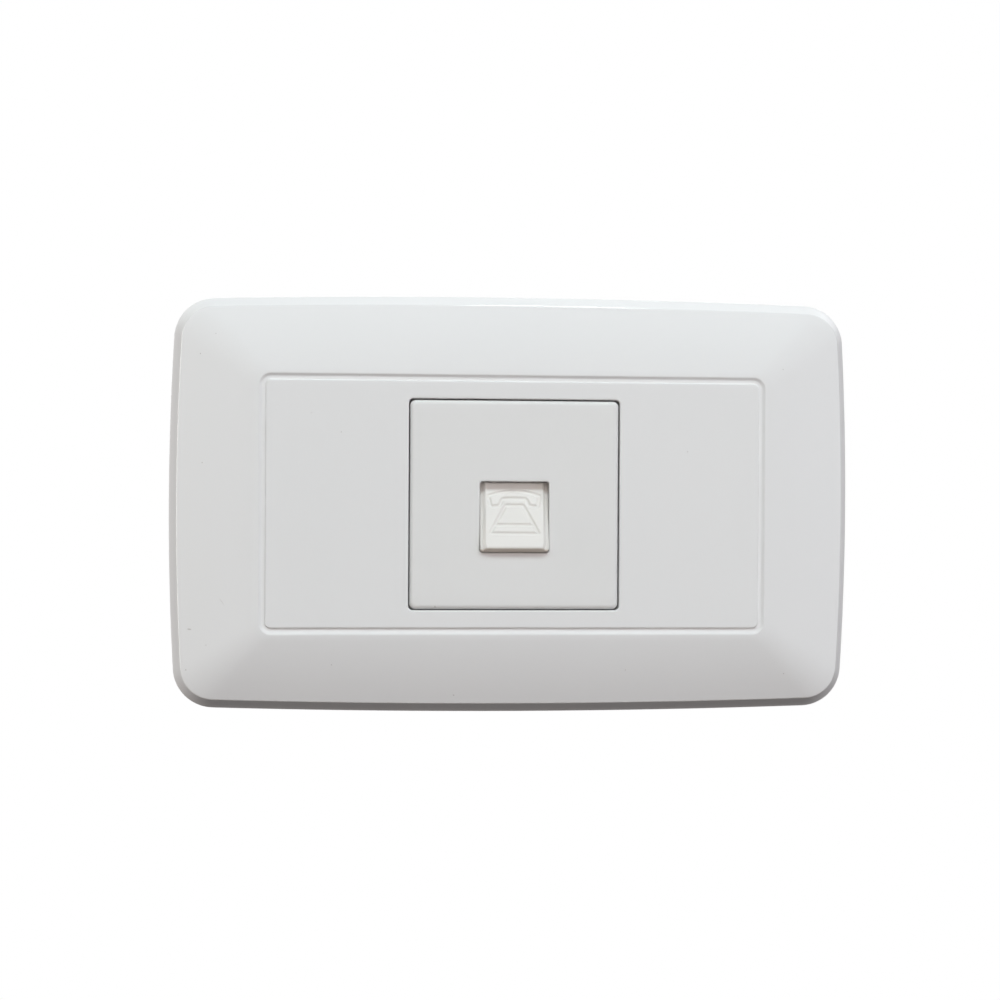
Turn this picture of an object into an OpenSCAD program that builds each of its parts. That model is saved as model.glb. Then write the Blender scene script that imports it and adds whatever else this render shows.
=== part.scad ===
// Telephone wall socket: a landscape cover plate that snaps over a mounting frame,
// with one square socket module behind a slanted spring shutter. Millimetres.
// The wall is the plane Y = 0, the front looks along -Y and Z is up. The origin is
// midway between the two box screws.

/* [Cover plate] */
// How far the cover plate reaches past the mounting frame on every side
cover_margin = 7; // [6.8:0.1:8]
// Radius of the plate's outer corners
plate_corner_r = 7; // [5:0.5:9]
// How far the middle of each side bows out past its ends
side_bow = 0.8; // [0.3:0.1:1.2]
// Height of the flat front above the wall
cover_depth = 7.8; // [7.4:0.1:9]
// Height of the rim's front edge above the wall
rim_h = 4.4; // [3.6:0.1:4.8]
// How far the rim leans in from the wall to its front edge
rim_draft = 1.7; // [1:0.1:2]
// Rounding of the rim's front edge
rim_round = 0.4; // [0.2:0.1:0.6]
// Crown of the sloping surround, as a share of its rise
surround_crown = 0.35; // [0.1:0.05:0.5]
// Wall thickness of the moulding
cover_wall = 1.8; // [1.4:0.1:2]
// Width of the sloping surround at the plate's ends, with the rim
surround_w = 16; // [14:0.5:18]
// Height of the sloping surround above and below the channel, with the rim
surround_h = 14; // [12:0.5:16]
// Flat land between the channel and the module's opening, above and below it
panel_land = 2.9; // [2:0.1:5]
// Width of the channel itself
channel_t = 1.1; // [0.6:0.1:1.4]
// Depth of the channel
channel_deep = 0.4; // [0.2:0.05:0.6]
// Corner radius of the channel's outer edge
channel_corner_r = 2; // [1.5:0.1:3]
// Flat land between the channel and the sloping surround
channel_land = 0.2; // [0.1:0.05:0.4]
// Thickness of the collar round the module's opening
collar_wall = 1.5; // [1:0.1:2]
// Gap between the collar and the mounting frame
collar_gap = 0.2; // [0.1:0.05:0.4]
// Distance of the cover's stiffening ribs from the level centre line
cover_rib_y = 12; // [8:0.5:14]
// Thickness of the cover's stiffening ribs
cover_rib_t = 1; // [0.8:0.1:1.2]
// Gap between the cover's ribs and the mounting frame
cover_rib_gap = 0.5; // [0.3:0.1:0.8]

/* [Cover hooks] */
// Distance of each hook from the plate's upright centre line
hook_x = 30; // [24:0.5:33]
// Room between a hook's barb and the frame's skirt
hook_room = 0.6; // [0.4:0.1:1]
// Width of a hook
hook_w = 7; // [5:0.5:8]
// Thickness of a hook's arm
hook_t = 1.3; // [1:0.1:1.6]
// How far the hook's barb catches behind the frame
hook_catch = 0.8; // [0.5:0.1:1]
// Height of the barb's straight face
hook_face = 0.4; // [0.3:0.1:0.6]
// Gap between a hook's foot and the wall
hook_foot = 0.4; // [0.3:0.1:0.6]
// Clearance of a hook in its slot
hook_fit = 0.2; // [0.1:0.05:0.3]
// Play between a snap barb and the frame's plate
snap_play = 0.05; // [0.03:0.01:0.1]

/* [Mounting frame] */
// Distance from each box screw to the frame's end
frame_end = 10.25; // [9.5:0.25:12]
// Corner radius of the mounting frame
frame_corner_r = 4; // [3:0.5:6]
// Thickness of the frame's plate
frame_plate = 1.6; // [1.4:0.1:1.8]
// Gap between the wall and the frame's plate
frame_stand = 1.6; // [1.4:0.1:1.8]
// Thickness of the frame's skirt and ribs
frame_rib = 1.4; // [1:0.1:1.6]
// Distance of the frame's level ribs from the level centre line
frame_rib_y = 9; // [7.5:0.5:12]
// Distance between the two box screws
screw_pitch = 83.5; // [80:0.5:86]
// Width of a screw slot
screw_slot_w = 4.5; // [4:0.1:5]
// Length of a screw slot
screw_slot_l = 8; // [7:0.5:9]
// Wall round a screw slot
screw_boss_wall = 2.2; // [1.5:0.1:3]

/* [Socket module] */
// Side of the square module face
face_size = 35.3; // [34.5:0.1:36.5]
// Gap between the module face and the cover plate
face_gap = 0.35; // [0.2:0.05:0.6]
// Thickness of the module face
face_wall = 1.8; // [1.5:0.1:2]
// Thickness of the face's skirt
skirt_wall = 1.3; // [1:0.1:1.4]
// Rounding of the face's front edge
face_round = 0.6; // [0.3:0.1:0.8]
// Corner radius of the face
face_corner_r = 1; // [0.9:0.1:1.5]
// Width of the snaps that hold the face on the module body
snap_w = 8; // [6:0.5:10]
// Height of these snaps
snap_h = 0.9; // [0.7:0.1:1.1]
// How far these snaps stand out of the body
snap_out = 0.6; // [0.4:0.1:0.8]
// Clearance between the face's skirt and the module body
body_fit = 0.15; // [0.1:0.05:0.2]
// Clearance between the module body and the frame's window
window_fit = 0.3; // [0.2:0.05:0.4]
// Wall thickness of the module body
body_wall = 1.4; // [1.2:0.1:1.6]
// How far the body's walls reach behind the circuit board
body_lip = 1.2; // [0.6:0.1:2]
// Width of a latch arm in the body's side
latch_w = 10; // [8:0.5:12]
// Length of a latch arm
latch_l = 9; // [7:0.5:10]
// Width of the slots that free a latch arm
latch_gap = 0.8; // [0.6:0.1:1]
// How far a latch catches behind the frame
latch_catch = 0.6; // [0.4:0.1:0.8]

/* [Shutter] */
// Width of the window in the module face
window_w = 11.8; // [11.4:0.1:12.2]
// Height of the window in the module face
window_h = 12.1; // [11.8:0.1:12.4]
// Corner radius of the window
window_r = 0.5; // [0.3:0.1:0.8]
// How far the window's centre lies below the face's centre
window_drop = 2.1; // [1.8:0.1:2.4]
// Angle between the shutter and the wall
shutter_tilt = 18; // [16:0.5:20]
// Travel of the shutter along its slope
shutter_travel = 9.6; // [9:0.1:9.8]
// Thickness of the shutter's sliding plate
shutter_base_t = 1.2; // [1:0.1:1.4]
// Height of the raised pad on the plate
shutter_pad_t = 0.6; // [0.4:0.1:0.8]
// Gap between the raised pad and each side of the window
pad_side_gap = 0.85; // [0.7:0.05:1.1]
// Height of the pad's front edge above the window's lower edge
lip_rise = 0.7; // [0.7:0.05:0.8]
// How far the pad's front edge stands out of the module face
lip_proud = 1.7; // [1.5:0.1:1.8]
// Clearance of the shutter in its guides
shutter_fit = 0.2; // [0.15:0.05:0.25]
// Reach of the ears beyond the sliding plate
ear_w = 1.6; // [1.4:0.1:1.8]
// Thickness of the ears
ear_t = 0.8; // [0.7:0.05:0.9]
// How far the shutter's top hides behind the window's upper edge
shutter_lap = 0.8; // [0.6:0.1:1]
// Bevel at the sides of the raised pad
pad_bevel = 0.3; // [0.2:0.05:0.35]
// Thickness of the sloping deck that the shutter slides on
deck_t = 1.2; // [1:0.1:1.4]

/* [Shutter spring] */
// Outer diameter of the coil
spring_d = 2.2; // [2:0.1:2.4]
// Diameter of the spring's wire
spring_wire = 0.25; // [0.2:0.05:0.3]
// Number of turns
spring_turns = 8; // [6:1:9]
// Length of the spring with the shutter closed
spring_l = 12; // [11.8:0.1:12.4]
// Distance of the coil from the window's side
spring_offset = 4.3; // [4.2:0.1:4.5]
// Thickness of the arm that pushes the spring, along the slope
arm_l = 1.2; // [1:0.1:1.4]
// Wall of the trough under the spring
trough_wall = 1.2; // [1:0.1:1.4]

/* [Jack] */
// Width of the plug's mouth
mouth_w = 9.8; // [9.7:0.05:10]
// Height of the plug's mouth
mouth_h = 6.9; // [6.8:0.05:7]
// Width of the slot for the plug's latch
latch_slot_w = 6.2; // [6:0.1:6.6]
// Height of the slot for the plug's latch
latch_slot_h = 1.8; // [1.6:0.1:2]
// Height of the mouth's lower edge above the window's lower edge
mouth_rise = 0.5; // [0.4:0.1:0.6]
// Wall at the jack's sides and foot
jack_wall = 1.5; // [1.2:0.1:1.8]
// Wall over the mouth, which carries the contacts
jack_roof = 1.9; // [1.7:0.1:2.1]
// Depth of the jack's housing
jack_depth = 12.9; // [12.5:0.1:14]
// Wall behind the plug's mouth
jack_back = 1.4; // [1:0.1:1.6]
// Distance between neighbouring contacts
contact_pitch = 1.02; // [1:0.01:1.05]
// Width of a contact
contact_w = 0.45; // [0.4:0.05:0.5]
// Thickness of a contact
contact_t = 0.4; // [0.3:0.05:0.45]
// How far a contact's free end hangs into the mouth
contact_hang = 2.1; // [1.8:0.1:2.2]
// Clearance round a contact in the jack's grooves
contact_fit = 0.1; // [0.08:0.01:0.12]
// Gap between the jack and the deck
jack_gap = 0.15; // [0.1:0.05:0.3]
// Diameter of the jack's locating pegs
peg_d = 1.8; // [1.5:0.1:2]
// Distance of the pegs from the jack's lower edge and sides
peg_in = 2.2; // [2:0.1:2.6]

/* [Circuit board and terminals] */
// Thickness of the circuit board
board_t = 1.6; // [1.2:0.2:1.8]
// Clearance round the circuit board
board_fit = 0.2; // [0.1:0.05:0.3]
// Diameter of a board screw
board_screw_d = 2.2; // [2:0.1:2.4]
// Length of a board screw under its head
board_screw_l = 6; // [5:0.5:8]
// Diameter of a board screw's head
board_head_d = 4; // [3.6:0.1:4.4]
// Height of a board screw's head
board_head_h = 1.4; // [1.2:0.1:1.6]
// Radius of the bosses for the board screws
boss_r = 2.6; // [2.4:0.1:2.8]
// Side of the posts under the board's lower corners
post_side = 2.4; // [2:0.1:2.8]
// Height of the terminal block's foot above the board's lower edge
block_up = 2.4; // [1.5:0.1:3.5]
// Distance between neighbouring terminals
terminal_pitch = 5; // [4.8:0.1:5.2]
// Height of the terminal block
block_h = 8; // [7.4:0.1:8.4]
// Depth of the terminal block behind the board
block_d = 9.5; // [9.3:0.1:10.5]
// Width of a terminal's clamp
clamp_w = 3.9; // [3.6:0.1:4]
// Depth of a terminal's clamp
clamp_d = 4.4; // [4.2:0.1:4.6]
// Length of a terminal's clamp
clamp_l = 4.6; // [4.4:0.1:5]
// Wall of a terminal's clamp
clamp_wall = 0.8; // [0.6:0.1:0.9]
// Diameter of a terminal screw
terminal_screw_d = 2.5; // [2.2:0.1:2.6]
// Diameter of a terminal screw's head
terminal_head_d = 3.6; // [3.4:0.1:3.7]
// Height of a terminal screw's head
terminal_head_h = 1.6; // [1.4:0.1:1.8]
// Length of a terminal screw between its head and its clamp
terminal_neck = 1.3; // [1:0.1:1.5]
// How far a terminal screw's head lies below the block's rear
terminal_sink = 0.8; // [0.6:0.1:1]
// Width of the screws' slots
screw_cut_w = 0.6; // [0.5:0.1:0.8]
// Depth of the screws' slots
screw_cut_deep = 0.7; // [0.5:0.1:0.8]
// Clearance between a screw and its threaded hole
thread_fit = 0.02; // [0.01:0.01:0.04]
// Clearance between small pieces and their pockets
pocket_fit = 0.1; // [0.05:0.05:0.15]

/* [Hidden] */

$fn = 32;
cut = 1; // how far a cutting tool runs past the face that it cuts
clear = 20; // height of a cutting tool that clears everything in front of it
sink = 0.1; // how far a rib is rooted in the wall that carries it
terminals = 4;
contacts = 4;
wire_sides = 6;
turn_steps = 12;

// Sizes that follow from the module
opening = face_size + 2 * face_gap;
body_size = face_size - 2 * skirt_wall - 2 * body_fit;
body_inner = body_size - 2 * body_wall;
frame_window = body_size + 2 * window_fit;

// Outlines of the frame, the cover plate and the channel
frame_w = screw_pitch + 2 * frame_end;
plate_w = frame_w + 2 * cover_margin;
channel_w = plate_w - 2 * surround_w;
channel_h = opening + 2 * panel_land + 2 * channel_t;
plate_h = channel_h + 2 * surround_h;
frame_h = plate_h - 2 * cover_margin;
hook_y = frame_h / 2 - frame_rib - hook_room - hook_catch;

rim_tighten = 0.8; // how much the rim's corners tighten as it leans in

// Levels, as heights above the wall
frame_top = frame_stand + frame_plate;
face_back = cover_depth - face_wall;
snap_z = lerp(frame_top, face_back, 0.5);
latch_z = frame_top - 0.6;

// The shutter's slope: its origin is the pad's front edge over the window's lower edge
window_bottom = -window_drop - window_h / 2;
slope_y = window_bottom + lip_rise;
slope_z = cover_depth + lip_proud;
shutter_t = shutter_base_t + shutter_pad_t;
shutter_base_w = window_w - 1.5 * shutter_fit;
shutter_l = (window_h - lip_rise + shutter_lap) / cos(shutter_tilt);
shutter_pad_w = window_w - 2 * pad_side_gap;
base_start = shutter_pad_t;
ear_front = -shutter_t + ear_t;
ear_start = (lip_proud + face_wall + shutter_fit + ear_front * cos(shutter_tilt)) / sin(shutter_tilt);
guide_l = shutter_l + shutter_travel + shutter_fit;
deck_front = -shutter_t - shutter_fit;
spring_x = window_w / 2 + spring_offset;
spring_v = ear_front - spring_d / 2 + 0.3;
spring_start = ear_start + arm_l;
arm_reach = spring_x + 0.9; // how far the arm reaches to the side, past the coil's middle
arm_drop = 0.8; // how far the arm reaches behind the coil's middle

// The jack and what stands behind it
mouth_bottom = window_bottom + mouth_rise + latch_slot_h;
mouth_top = mouth_bottom + mouth_h;
jack_top = mouth_top + jack_roof;
jack_bottom = mouth_bottom - latch_slot_h - jack_wall;
jack_w = mouth_w + 2 * jack_wall;
jack_front = slope_height(jack_top, deck_front - deck_t) - jack_gap;
board_front = jack_front - jack_depth;
board_rear = board_front - board_t;
body_rear = board_rear - body_lip;
peg_y = jack_bottom + peg_in;
latch_stop = 4; // wall left behind the slot for the plug's latch
board_side = body_inner - 2 * board_fit;
boss_at = body_inner / 2 - boss_r + 0.2;
deck_level = slope_height(boss_at, deck_front - deck_t / 2); // where the bosses end in the deck

// The contacts' run in the jack's roof, and where they bend into the mouth
contact_y = jack_top - contact_t / 2 - 0.3;
contact_tail = board_rear - 0.8;
contact_bend = jack_front - 2.4;
contact_turn = jack_front - 1.6;
contact_end = jack_front - 9.6;
contact_bend_y = 0.6;
tail_hole_d = 0.8;

// Terminals
block_w = terminals * terminal_pitch + 1;
block_rear = board_rear - block_d;
terminal_y = -board_side / 2 + block_up + block_h / 2;
head_level = block_rear + terminal_head_h + terminal_sink;
clamp_rear = head_level + terminal_neck;
thread_reach = 1; // how far a terminal screw reaches into its clamp

// Height above the wall of the slope's plane at distance v from the pad's front, at the given level
function slope_height(y, v) =
    let (u = (y - slope_y - v * sin(shutter_tilt)) / cos(shutter_tilt))
    slope_z - u * sin(shutter_tilt) + v * cos(shutter_tilt);

function lerp(a, b, t) = a + (b - a) * t;

// One ring of a loft: a rectangle with round corners whose sides bow out in the middle.
// hx and hy are half its sizes at the middle of its sides, r its corner radius.
function bowed_ring(hx, hy, r, bow, z, corner_steps = 10, side_steps = 8) =
    let (
        lean_x = atan(2 * bow / (hx - bow - r)),
        lean_y = atan(2 * bow / (hy - bow - r)),
        cx = hx - bow - r * cos(lean_y),
        cy = hy - bow - r * cos(lean_x),
        end_x = cx + r * sin(lean_x),
        end_y = cy + r * sin(lean_y),
        corner = [
            for (i = [0 : corner_steps])
                let (a = lerp(lean_y, 90 - lean_x, i / corner_steps))
                [cx + r * cos(a), cy + r * sin(a)]
        ],
        top = [
            for (i = [1 : side_steps - 1])
                let (t = 1 - 2 * i / side_steps)
                [end_x * t, hy - bow * t * t]
        ],
        left = [
            for (i = [1 : side_steps - 1])
                let (t = 1 - 2 * i / side_steps)
                [-(hx - bow * t * t), end_y * t]
        ]
    )
    [
        for (p = corner) [p.x, p.y, z],
        for (p = top) [p.x, p.y, z],
        for (i = [corner_steps : -1 : 0]) [-corner[i].x, corner[i].y, z],
        for (p = left) [p.x, p.y, z],
        for (p = corner) [-p.x, -p.y, z],
        for (p = top) [-p.x, -p.y, z],
        for (i = [corner_steps : -1 : 0]) [corner[i].x, -corner[i].y, z],
        for (p = left) [-p.x, -p.y, z]
    ];

// A closed skin over rings of equally many points, listed from the back to the front.
// Each end is closed by a fan round its middle point.
module loft(rings) {
    n = len(rings[0]);
    last = (len(rings) - 1) * n;
    hub = len(rings) * n;
    polyhedron(
        points = [for (ring = rings) each ring, middle(rings[0]), middle(rings[len(rings) - 1])],
        faces = [
            for (i = [0 : n - 1]) [hub, i, (i + 1) % n],
            for (i = [0 : n - 1]) [hub + 1, last + (i + 1) % n, last + i],
            for (k = [0 : len(rings) - 2], i = [0 : n - 1])
                let (a = k * n + i, b = k * n + (i + 1) % n)
                each [[a, a + n, b + n], [a, b + n, b]]
        ]
    );
}

function middle(points) = [for (p = points) 1] * points / len(points);

// Turns the modelling plane (x, up, out of the wall) upright
module on_wall() rotate([90, 0, 0]) children();

// Coordinates along the shutter's slope: y runs up and in, z stands off its front
module on_slope() translate([0, slope_y, slope_z]) rotate([-shutter_tilt, 0, 0]) children();

module rounded_square(size, r) {
    square([size.x - 2 * r, size.y], center = true);
    square([size.x, size.y - 2 * r], center = true);
    for (sx = [-1, 1], sy = [-1, 1])
        translate([sx * (size.x / 2 - r), sy * (size.y / 2 - r)]) circle(r);
}

// A slot with round ends along x
module slot_shape(l, w) {
    square([l - w, w], center = true);
    for (side = [-1, 1]) translate([side * (l - w) / 2, 0]) circle(d = w);
}

// A block from one level to another, centred on x and y
module block(size, z0, z1) translate([-size.x / 2, -size.y / 2, z0]) cube([size.x, size.y, z1 - z0]);

// A profile drawn in the plane (up, out of the wall), extruded from x0 to x1
module side_profile(points, x0, x1)
    translate([x0, 0, 0]) rotate([90, 0, 90]) linear_extrude(x1 - x0) polygon(points);

// The surround's profile: how far in from the plate's side and how high above the wall at share t of it
function surround_in(t, side) = lerp(rim_draft + rim_round, side, t);
function surround_z(t) = lerp(rim_h, cover_depth, t + surround_crown * t * (1 - t));

// The ring of the surround at share t, set in by thickness w
function surround_ring(t, w = 0) =
    bowed_ring(
        plate_w / 2 - surround_in(t, (plate_w - channel_w) / 2 - channel_land) - w,
        plate_h / 2 - surround_in(t, (plate_h - channel_h) / 2 - channel_land) - w,
        lerp(plate_corner_r - rim_draft, channel_corner_r + channel_land, t),
        lerp(side_bow, 0, t),
        surround_z(t) - w
    );

function rim_ring(inset, z, w = 0) =
    bowed_ring(
        plate_w / 2 - inset - w, plate_h / 2 - inset - w,
        plate_corner_r - inset * rim_tighten, side_bow, z
    );

module cover_skin()
    loft([
        rim_ring(0, 0),
        rim_ring(rim_draft, rim_h - rim_round),
        rim_ring(rim_draft + rim_round * 0.3, rim_h - rim_round * 0.3),
        for (i = [0 : 4]) surround_ring(i / 4)
    ]);

module cover_cavity()
    loft([
        rim_ring(0, -cut, cover_wall),
        rim_ring(rim_draft, rim_h - cover_wall, cover_wall),
        for (i = [1 : 4]) surround_ring(i / 4, cover_wall)
    ]);

// One snap hook: an arm that reaches through the frame with a barb that catches behind its plate
module cover_hook() {
    catch_z = frame_stand - snap_play;
    side_profile(
        [
            [hook_y - hook_t, hook_foot],
            [hook_y, hook_foot],
            [hook_y + hook_catch, catch_z - hook_face],
            [hook_y + hook_catch, catch_z],
            [hook_y, catch_z],
            [hook_y, cover_depth],
            [hook_y - hook_t, cover_depth]
        ],
        hook_x - hook_w / 2, hook_x + hook_w / 2
    );
}

module mirrored_four()
    for (sx = [0, 1], sy = [0, 1]) mirror([sx, 0, 0]) mirror([0, sy, 0]) children();

module cover_plate() color([0.93, 0.93, 0.93]) on_wall()
    difference() {
        cover_skin();
        difference() {
            cover_cavity();
            block([opening, opening] + 2 * [collar_wall, collar_wall], frame_top + collar_gap, cover_depth);
            mirrored_four() cover_hook();
            // stiffening ribs from the collar to the rim
            for (side = [-1, 1]) translate([0, side * cover_rib_y, 0])
                block([plate_w, cover_rib_t], frame_top + cover_rib_gap, cover_depth);
        }
        // the module's opening
        translate([0, 0, -cut]) linear_extrude(cover_depth + 2 * cut)
            rounded_square([opening, opening], face_corner_r - 0.2);
        // the moulded channel
        translate([0, 0, cover_depth - channel_deep]) linear_extrude(channel_deep + cut) difference() {
            rounded_square([channel_w, channel_h], channel_corner_r);
            rounded_square([channel_w, channel_h] - 2 * [channel_t, channel_t], channel_corner_r - channel_t);
        }
    }

module mounting_frame() color([0.88, 0.88, 0.86]) on_wall()
    difference() {
        union() {
            translate([0, 0, frame_stand]) linear_extrude(frame_plate)
                rounded_square([frame_w, frame_h], frame_corner_r);
            linear_extrude(frame_stand) difference() {
                rounded_square([frame_w, frame_h], frame_corner_r);
                rounded_square([frame_w, frame_h] - 2 * [frame_rib, frame_rib], frame_corner_r - frame_rib);
            }
            // bosses that stand on the wall round the screw slots
            for (side = [-1, 1]) translate([side * screw_pitch / 2, 0, 0]) linear_extrude(frame_top)
                slot_shape(screw_slot_l + 2 * screw_boss_wall, screw_slot_w + 2 * screw_boss_wall);
            // ribs over and under the window, and level ribs from the window to the skirt
            for (y = [frame_window / 2 + frame_rib / 2, frame_rib_y], side = [-1, 1])
                translate([0, side * y, 0]) block([frame_w - frame_rib, frame_rib], 0, frame_stand);
        }
        block([frame_window, frame_window], -cut, frame_top + cut);
        for (side = [-1, 1]) translate([side * screw_pitch / 2, 0, -cut]) linear_extrude(frame_top + 2 * cut)
            slot_shape(screw_slot_l, screw_slot_w);
        // slots for the cover's hooks, with room behind each arm to bend by its catch
        mirrored_four() translate([hook_x, hook_y + hook_fit - (hook_t + hook_catch + hook_fit) / 2, 0])
            block([hook_w + 2 * hook_fit, hook_t + hook_catch + hook_fit], -cut, frame_top + cut);
    }

// Ring of the module face, set in by the given amount
function face_ring(inset, z) =
    bowed_ring(face_size / 2 - inset, face_size / 2 - inset, face_corner_r - inset * 0.5, 0, z, 5, 1);

module face_skin()
    loft([
        face_ring(0, frame_top),
        for (a = [0 : 22.5 : 90])
            face_ring(face_round * (1 - cos(a)), cover_depth - face_round * (1 - sin(a)))
    ]);

// Rib behind the face that holds an ear of the shutter down on the module body's deck
module ear_rib() {
    top_u = ear_start - 2 * shutter_fit;
    end_u = guide_l - shutter_fit;
    v = ear_front + shutter_fit;
    side_profile(
        [
            [slope_y + top_u * cos(shutter_tilt), face_back + sink],
            [slope_y + top_u * cos(shutter_tilt), face_back - shutter_fit / 2],
            [slope_point(ear_start, v).x, min(slope_point(ear_start, v).y, face_back - shutter_fit / 2)],
            slope_point(end_u, v),
            [slope_point(end_u, v).x, face_back + sink]
        ],
        window_w / 2 + shutter_fit / 2, shutter_base_w / 2 + ear_w - shutter_fit / 2
    );
}

// The point (up, out of the wall) at distance u along the slope and v off its front
function slope_point(u, v) = [
    slope_y + u * cos(shutter_tilt) + v * sin(shutter_tilt),
    slope_z - u * sin(shutter_tilt) + v * cos(shutter_tilt)
];

module module_face() color([0.92, 0.92, 0.92]) on_wall() {
    difference() {
        face_skin();
        block([1, 1] * (face_size - 2 * skirt_wall), frame_top - cut, face_back);
        translate([0, -window_drop, face_back - cut]) linear_extrude(face_wall + 2 * cut)
            rounded_square([window_w, window_h], window_r);
        // slots that the body's snaps click into
        block(
            [snap_w + 4 * body_fit, face_size + 2 * cut],
            snap_z - snap_h / 2 - pocket_fit, snap_z + snap_h / 2 + pocket_fit
        );
    }
    for (side = [0, 1]) mirror([side, 0, 0]) ear_rib();
}

// The body's sloping deck, which the shutter slides on, and the trough under the spring
module deck() {
    trough_r = spring_d / 2 + trough_wall + shutter_fit;
    intersection() {
        block([body_size, body_size] - [body_wall, body_wall], body_rear, face_back);
        on_slope() {
            translate([-body_size / 2, -body_size, deck_front - deck_t])
                cube([body_size, 3 * body_size, deck_t]);
            translate([spring_x - trough_r, ear_start - trough_wall, spring_v - trough_r])
                cube([2 * trough_r, body_size, trough_r]);
        }
    }
}

// Spaces for the shutter, its ears, its spring arm and its spring
module shutter_run() on_slope() {
    half = shutter_base_w / 2 + ear_w + shutter_fit;
    coil_r = spring_d / 2 + shutter_fit;
    coil_l = spring_l + arm_l + shutter_fit;
    start = ear_start - shutter_fit;
    arm_start = half - 2 * shutter_fit - sink;
    translate([-half, -clear / 4, deck_front]) cube([2 * half, guide_l + clear / 4, clear]);
    translate([spring_x - coil_r, start, spring_v]) cube([2 * coil_r, coil_l, clear]);
    translate([arm_start, start, spring_v - arm_drop - shutter_fit])
        cube([spring_x + coil_r - arm_start, shutter_travel + arm_l + 2 * shutter_fit, clear]);
    translate([spring_x, start, spring_v]) rotate([-90, 0, 0]) cylinder(r = coil_r, h = coil_l);
}

// A latch arm's barb, with its lead-in slope, behind the frame's plate
module latch_barb() {
    catch_z = frame_stand - snap_play;
    root = body_size / 2 - body_wall / 2;
    lead = 5 * latch_catch;
    rotate([90, 0, 0]) translate([0, 0, -latch_w / 2 + latch_gap / 2]) linear_extrude(latch_w - latch_gap)
        polygon([
            [root, catch_z],
            [body_size / 2 + window_fit + latch_catch, catch_z],
            [body_size / 2 + window_fit + latch_catch, catch_z - latch_catch],
            [body_size / 2, catch_z - latch_catch - lead],
            [root, catch_z - latch_catch - lead]
        ]);
}

// The slots beside and above a latch arm, which leave it free on three sides
module latch_slots() {
    for (side = [-1, 1]) translate([body_size / 2, side * (latch_w + latch_gap) / 2, 0])
        block([3 * body_wall, latch_gap], latch_z - latch_l, latch_z + latch_gap);
    translate([body_size / 2, 0, 0])
        block([3 * body_wall, latch_w + latch_gap], latch_z, latch_z + latch_gap);
}

module module_body() color([0.9, 0.9, 0.88]) on_wall()
    difference() {
        union() {
            difference() {
                block([body_size, body_size], body_rear, face_back);
                block([body_inner, body_inner], body_rear - cut, face_back + cut);
            }
            deck();
            for (side = [-1, 1]) {
                // boss for a board screw, and a post that the board's lower corner lies on
                translate([side * boss_at, boss_at, board_front])
                    cylinder(r = boss_r, h = deck_level - board_front);
                translate([side * (body_inner - post_side) / 2, -(body_inner - post_side) / 2, 0])
                    block((post_side + 2 * sink) * [1, 1], board_front, face_back);
                mirror([side > 0 ? 0 : 1, 0, 0]) latch_barb();
                translate([0, side * body_size / 2, 0])
                    block([snap_w, 2 * snap_out], snap_z - snap_h / 2, snap_z + snap_h / 2);
            }
        }
        shutter_run();
        // the plug's way through the deck
        translate([-mouth_w / 2 - window_fit, -body_inner / 2, board_front])
            cube([mouth_w + 2 * window_fit, mouth_top + window_fit + body_inner / 2, clear]);
        for (side = [-1, 1]) {
            translate([side * boss_at, boss_at, board_front - cut])
                cylinder(d = board_screw_d + 2 * thread_fit, h = board_screw_l - board_t + 2 * cut);
            mirror([side > 0 ? 0 : 1, 0, 0]) latch_slots();
        }
    }

// The sliding plate with its raised pad, its ears and the arm that pushes the spring
module shutter() color([0.94, 0.94, 0.9]) on_wall() on_slope() {
    translate([-shutter_base_w / 2, base_start, -shutter_t])
        cube([shutter_base_w, shutter_l - base_start, shutter_base_t]);
    // the plate's foot beside the lip: its front stands upright and its corners are cut off
    hull() for (inset = [0, pad_bevel])
        side_profile(
            [
                [pad_bevel - inset, -shutter_t],
                [pad_bevel - inset, -shutter_pad_t - (base_start - pad_bevel + inset) * tan(shutter_tilt)],
                [base_start, -shutter_pad_t],
                [base_start + sink, -shutter_pad_t],
                [base_start + sink, -shutter_t]
            ],
            inset - shutter_base_w / 2, shutter_base_w / 2 - inset
        );
    // the pad, with its front lip and bevelled sides
    hull() {
        translate([-shutter_pad_w / 2, 0, -shutter_t]) cube([shutter_pad_w, base_start, shutter_t]);
        translate([-shutter_pad_w / 2, 0, -shutter_pad_t])
            cube([shutter_pad_w, shutter_l - shutter_lap, shutter_pad_t]);
        translate([-shutter_pad_w / 2 - pad_bevel, base_start, -shutter_pad_t - sink])
            cube([shutter_pad_w + 2 * pad_bevel, shutter_l - base_start - shutter_lap / 2, sink]);
    }
    for (side = [0, 1]) mirror([side, 0, 0])
        translate([shutter_base_w / 2 - sink, ear_start, -shutter_t])
            cube([ear_w + sink, shutter_l - ear_start, ear_t]);
    translate([shutter_base_w / 2 + ear_w - sink, ear_start, spring_v - arm_drop])
        cube([arm_reach - shutter_base_w / 2 - ear_w + sink, arm_l, ear_front - spring_v + arm_drop]);
}

// Wire swept along a helix, as rings of wire_sides points
function coil_point(i) =
    let (a = 360 * i / turn_steps, r = (spring_d - spring_wire) / 2)
    [
        r * cos(a),
        r * sin(a),
        lerp(spring_wire / 2, spring_l - spring_wire / 2, i / (turn_steps * spring_turns))
    ];

function wire_ring(i) =
    let (a = 360 * i / turn_steps, c = coil_point(i))
    [
        for (k = [0 : wire_sides - 1])
            let (b = -360 * k / wire_sides)
            c + spring_wire / 2 * [cos(a) * cos(b), sin(a) * cos(b), sin(b)]
    ];

module shutter_spring() color([0.75, 0.76, 0.78]) on_wall() on_slope()
    translate([spring_x, spring_start, spring_v]) rotate([-90, 0, 0])
        loft([for (i = [0 : turn_steps * spring_turns]) wire_ring(i)]);

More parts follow.
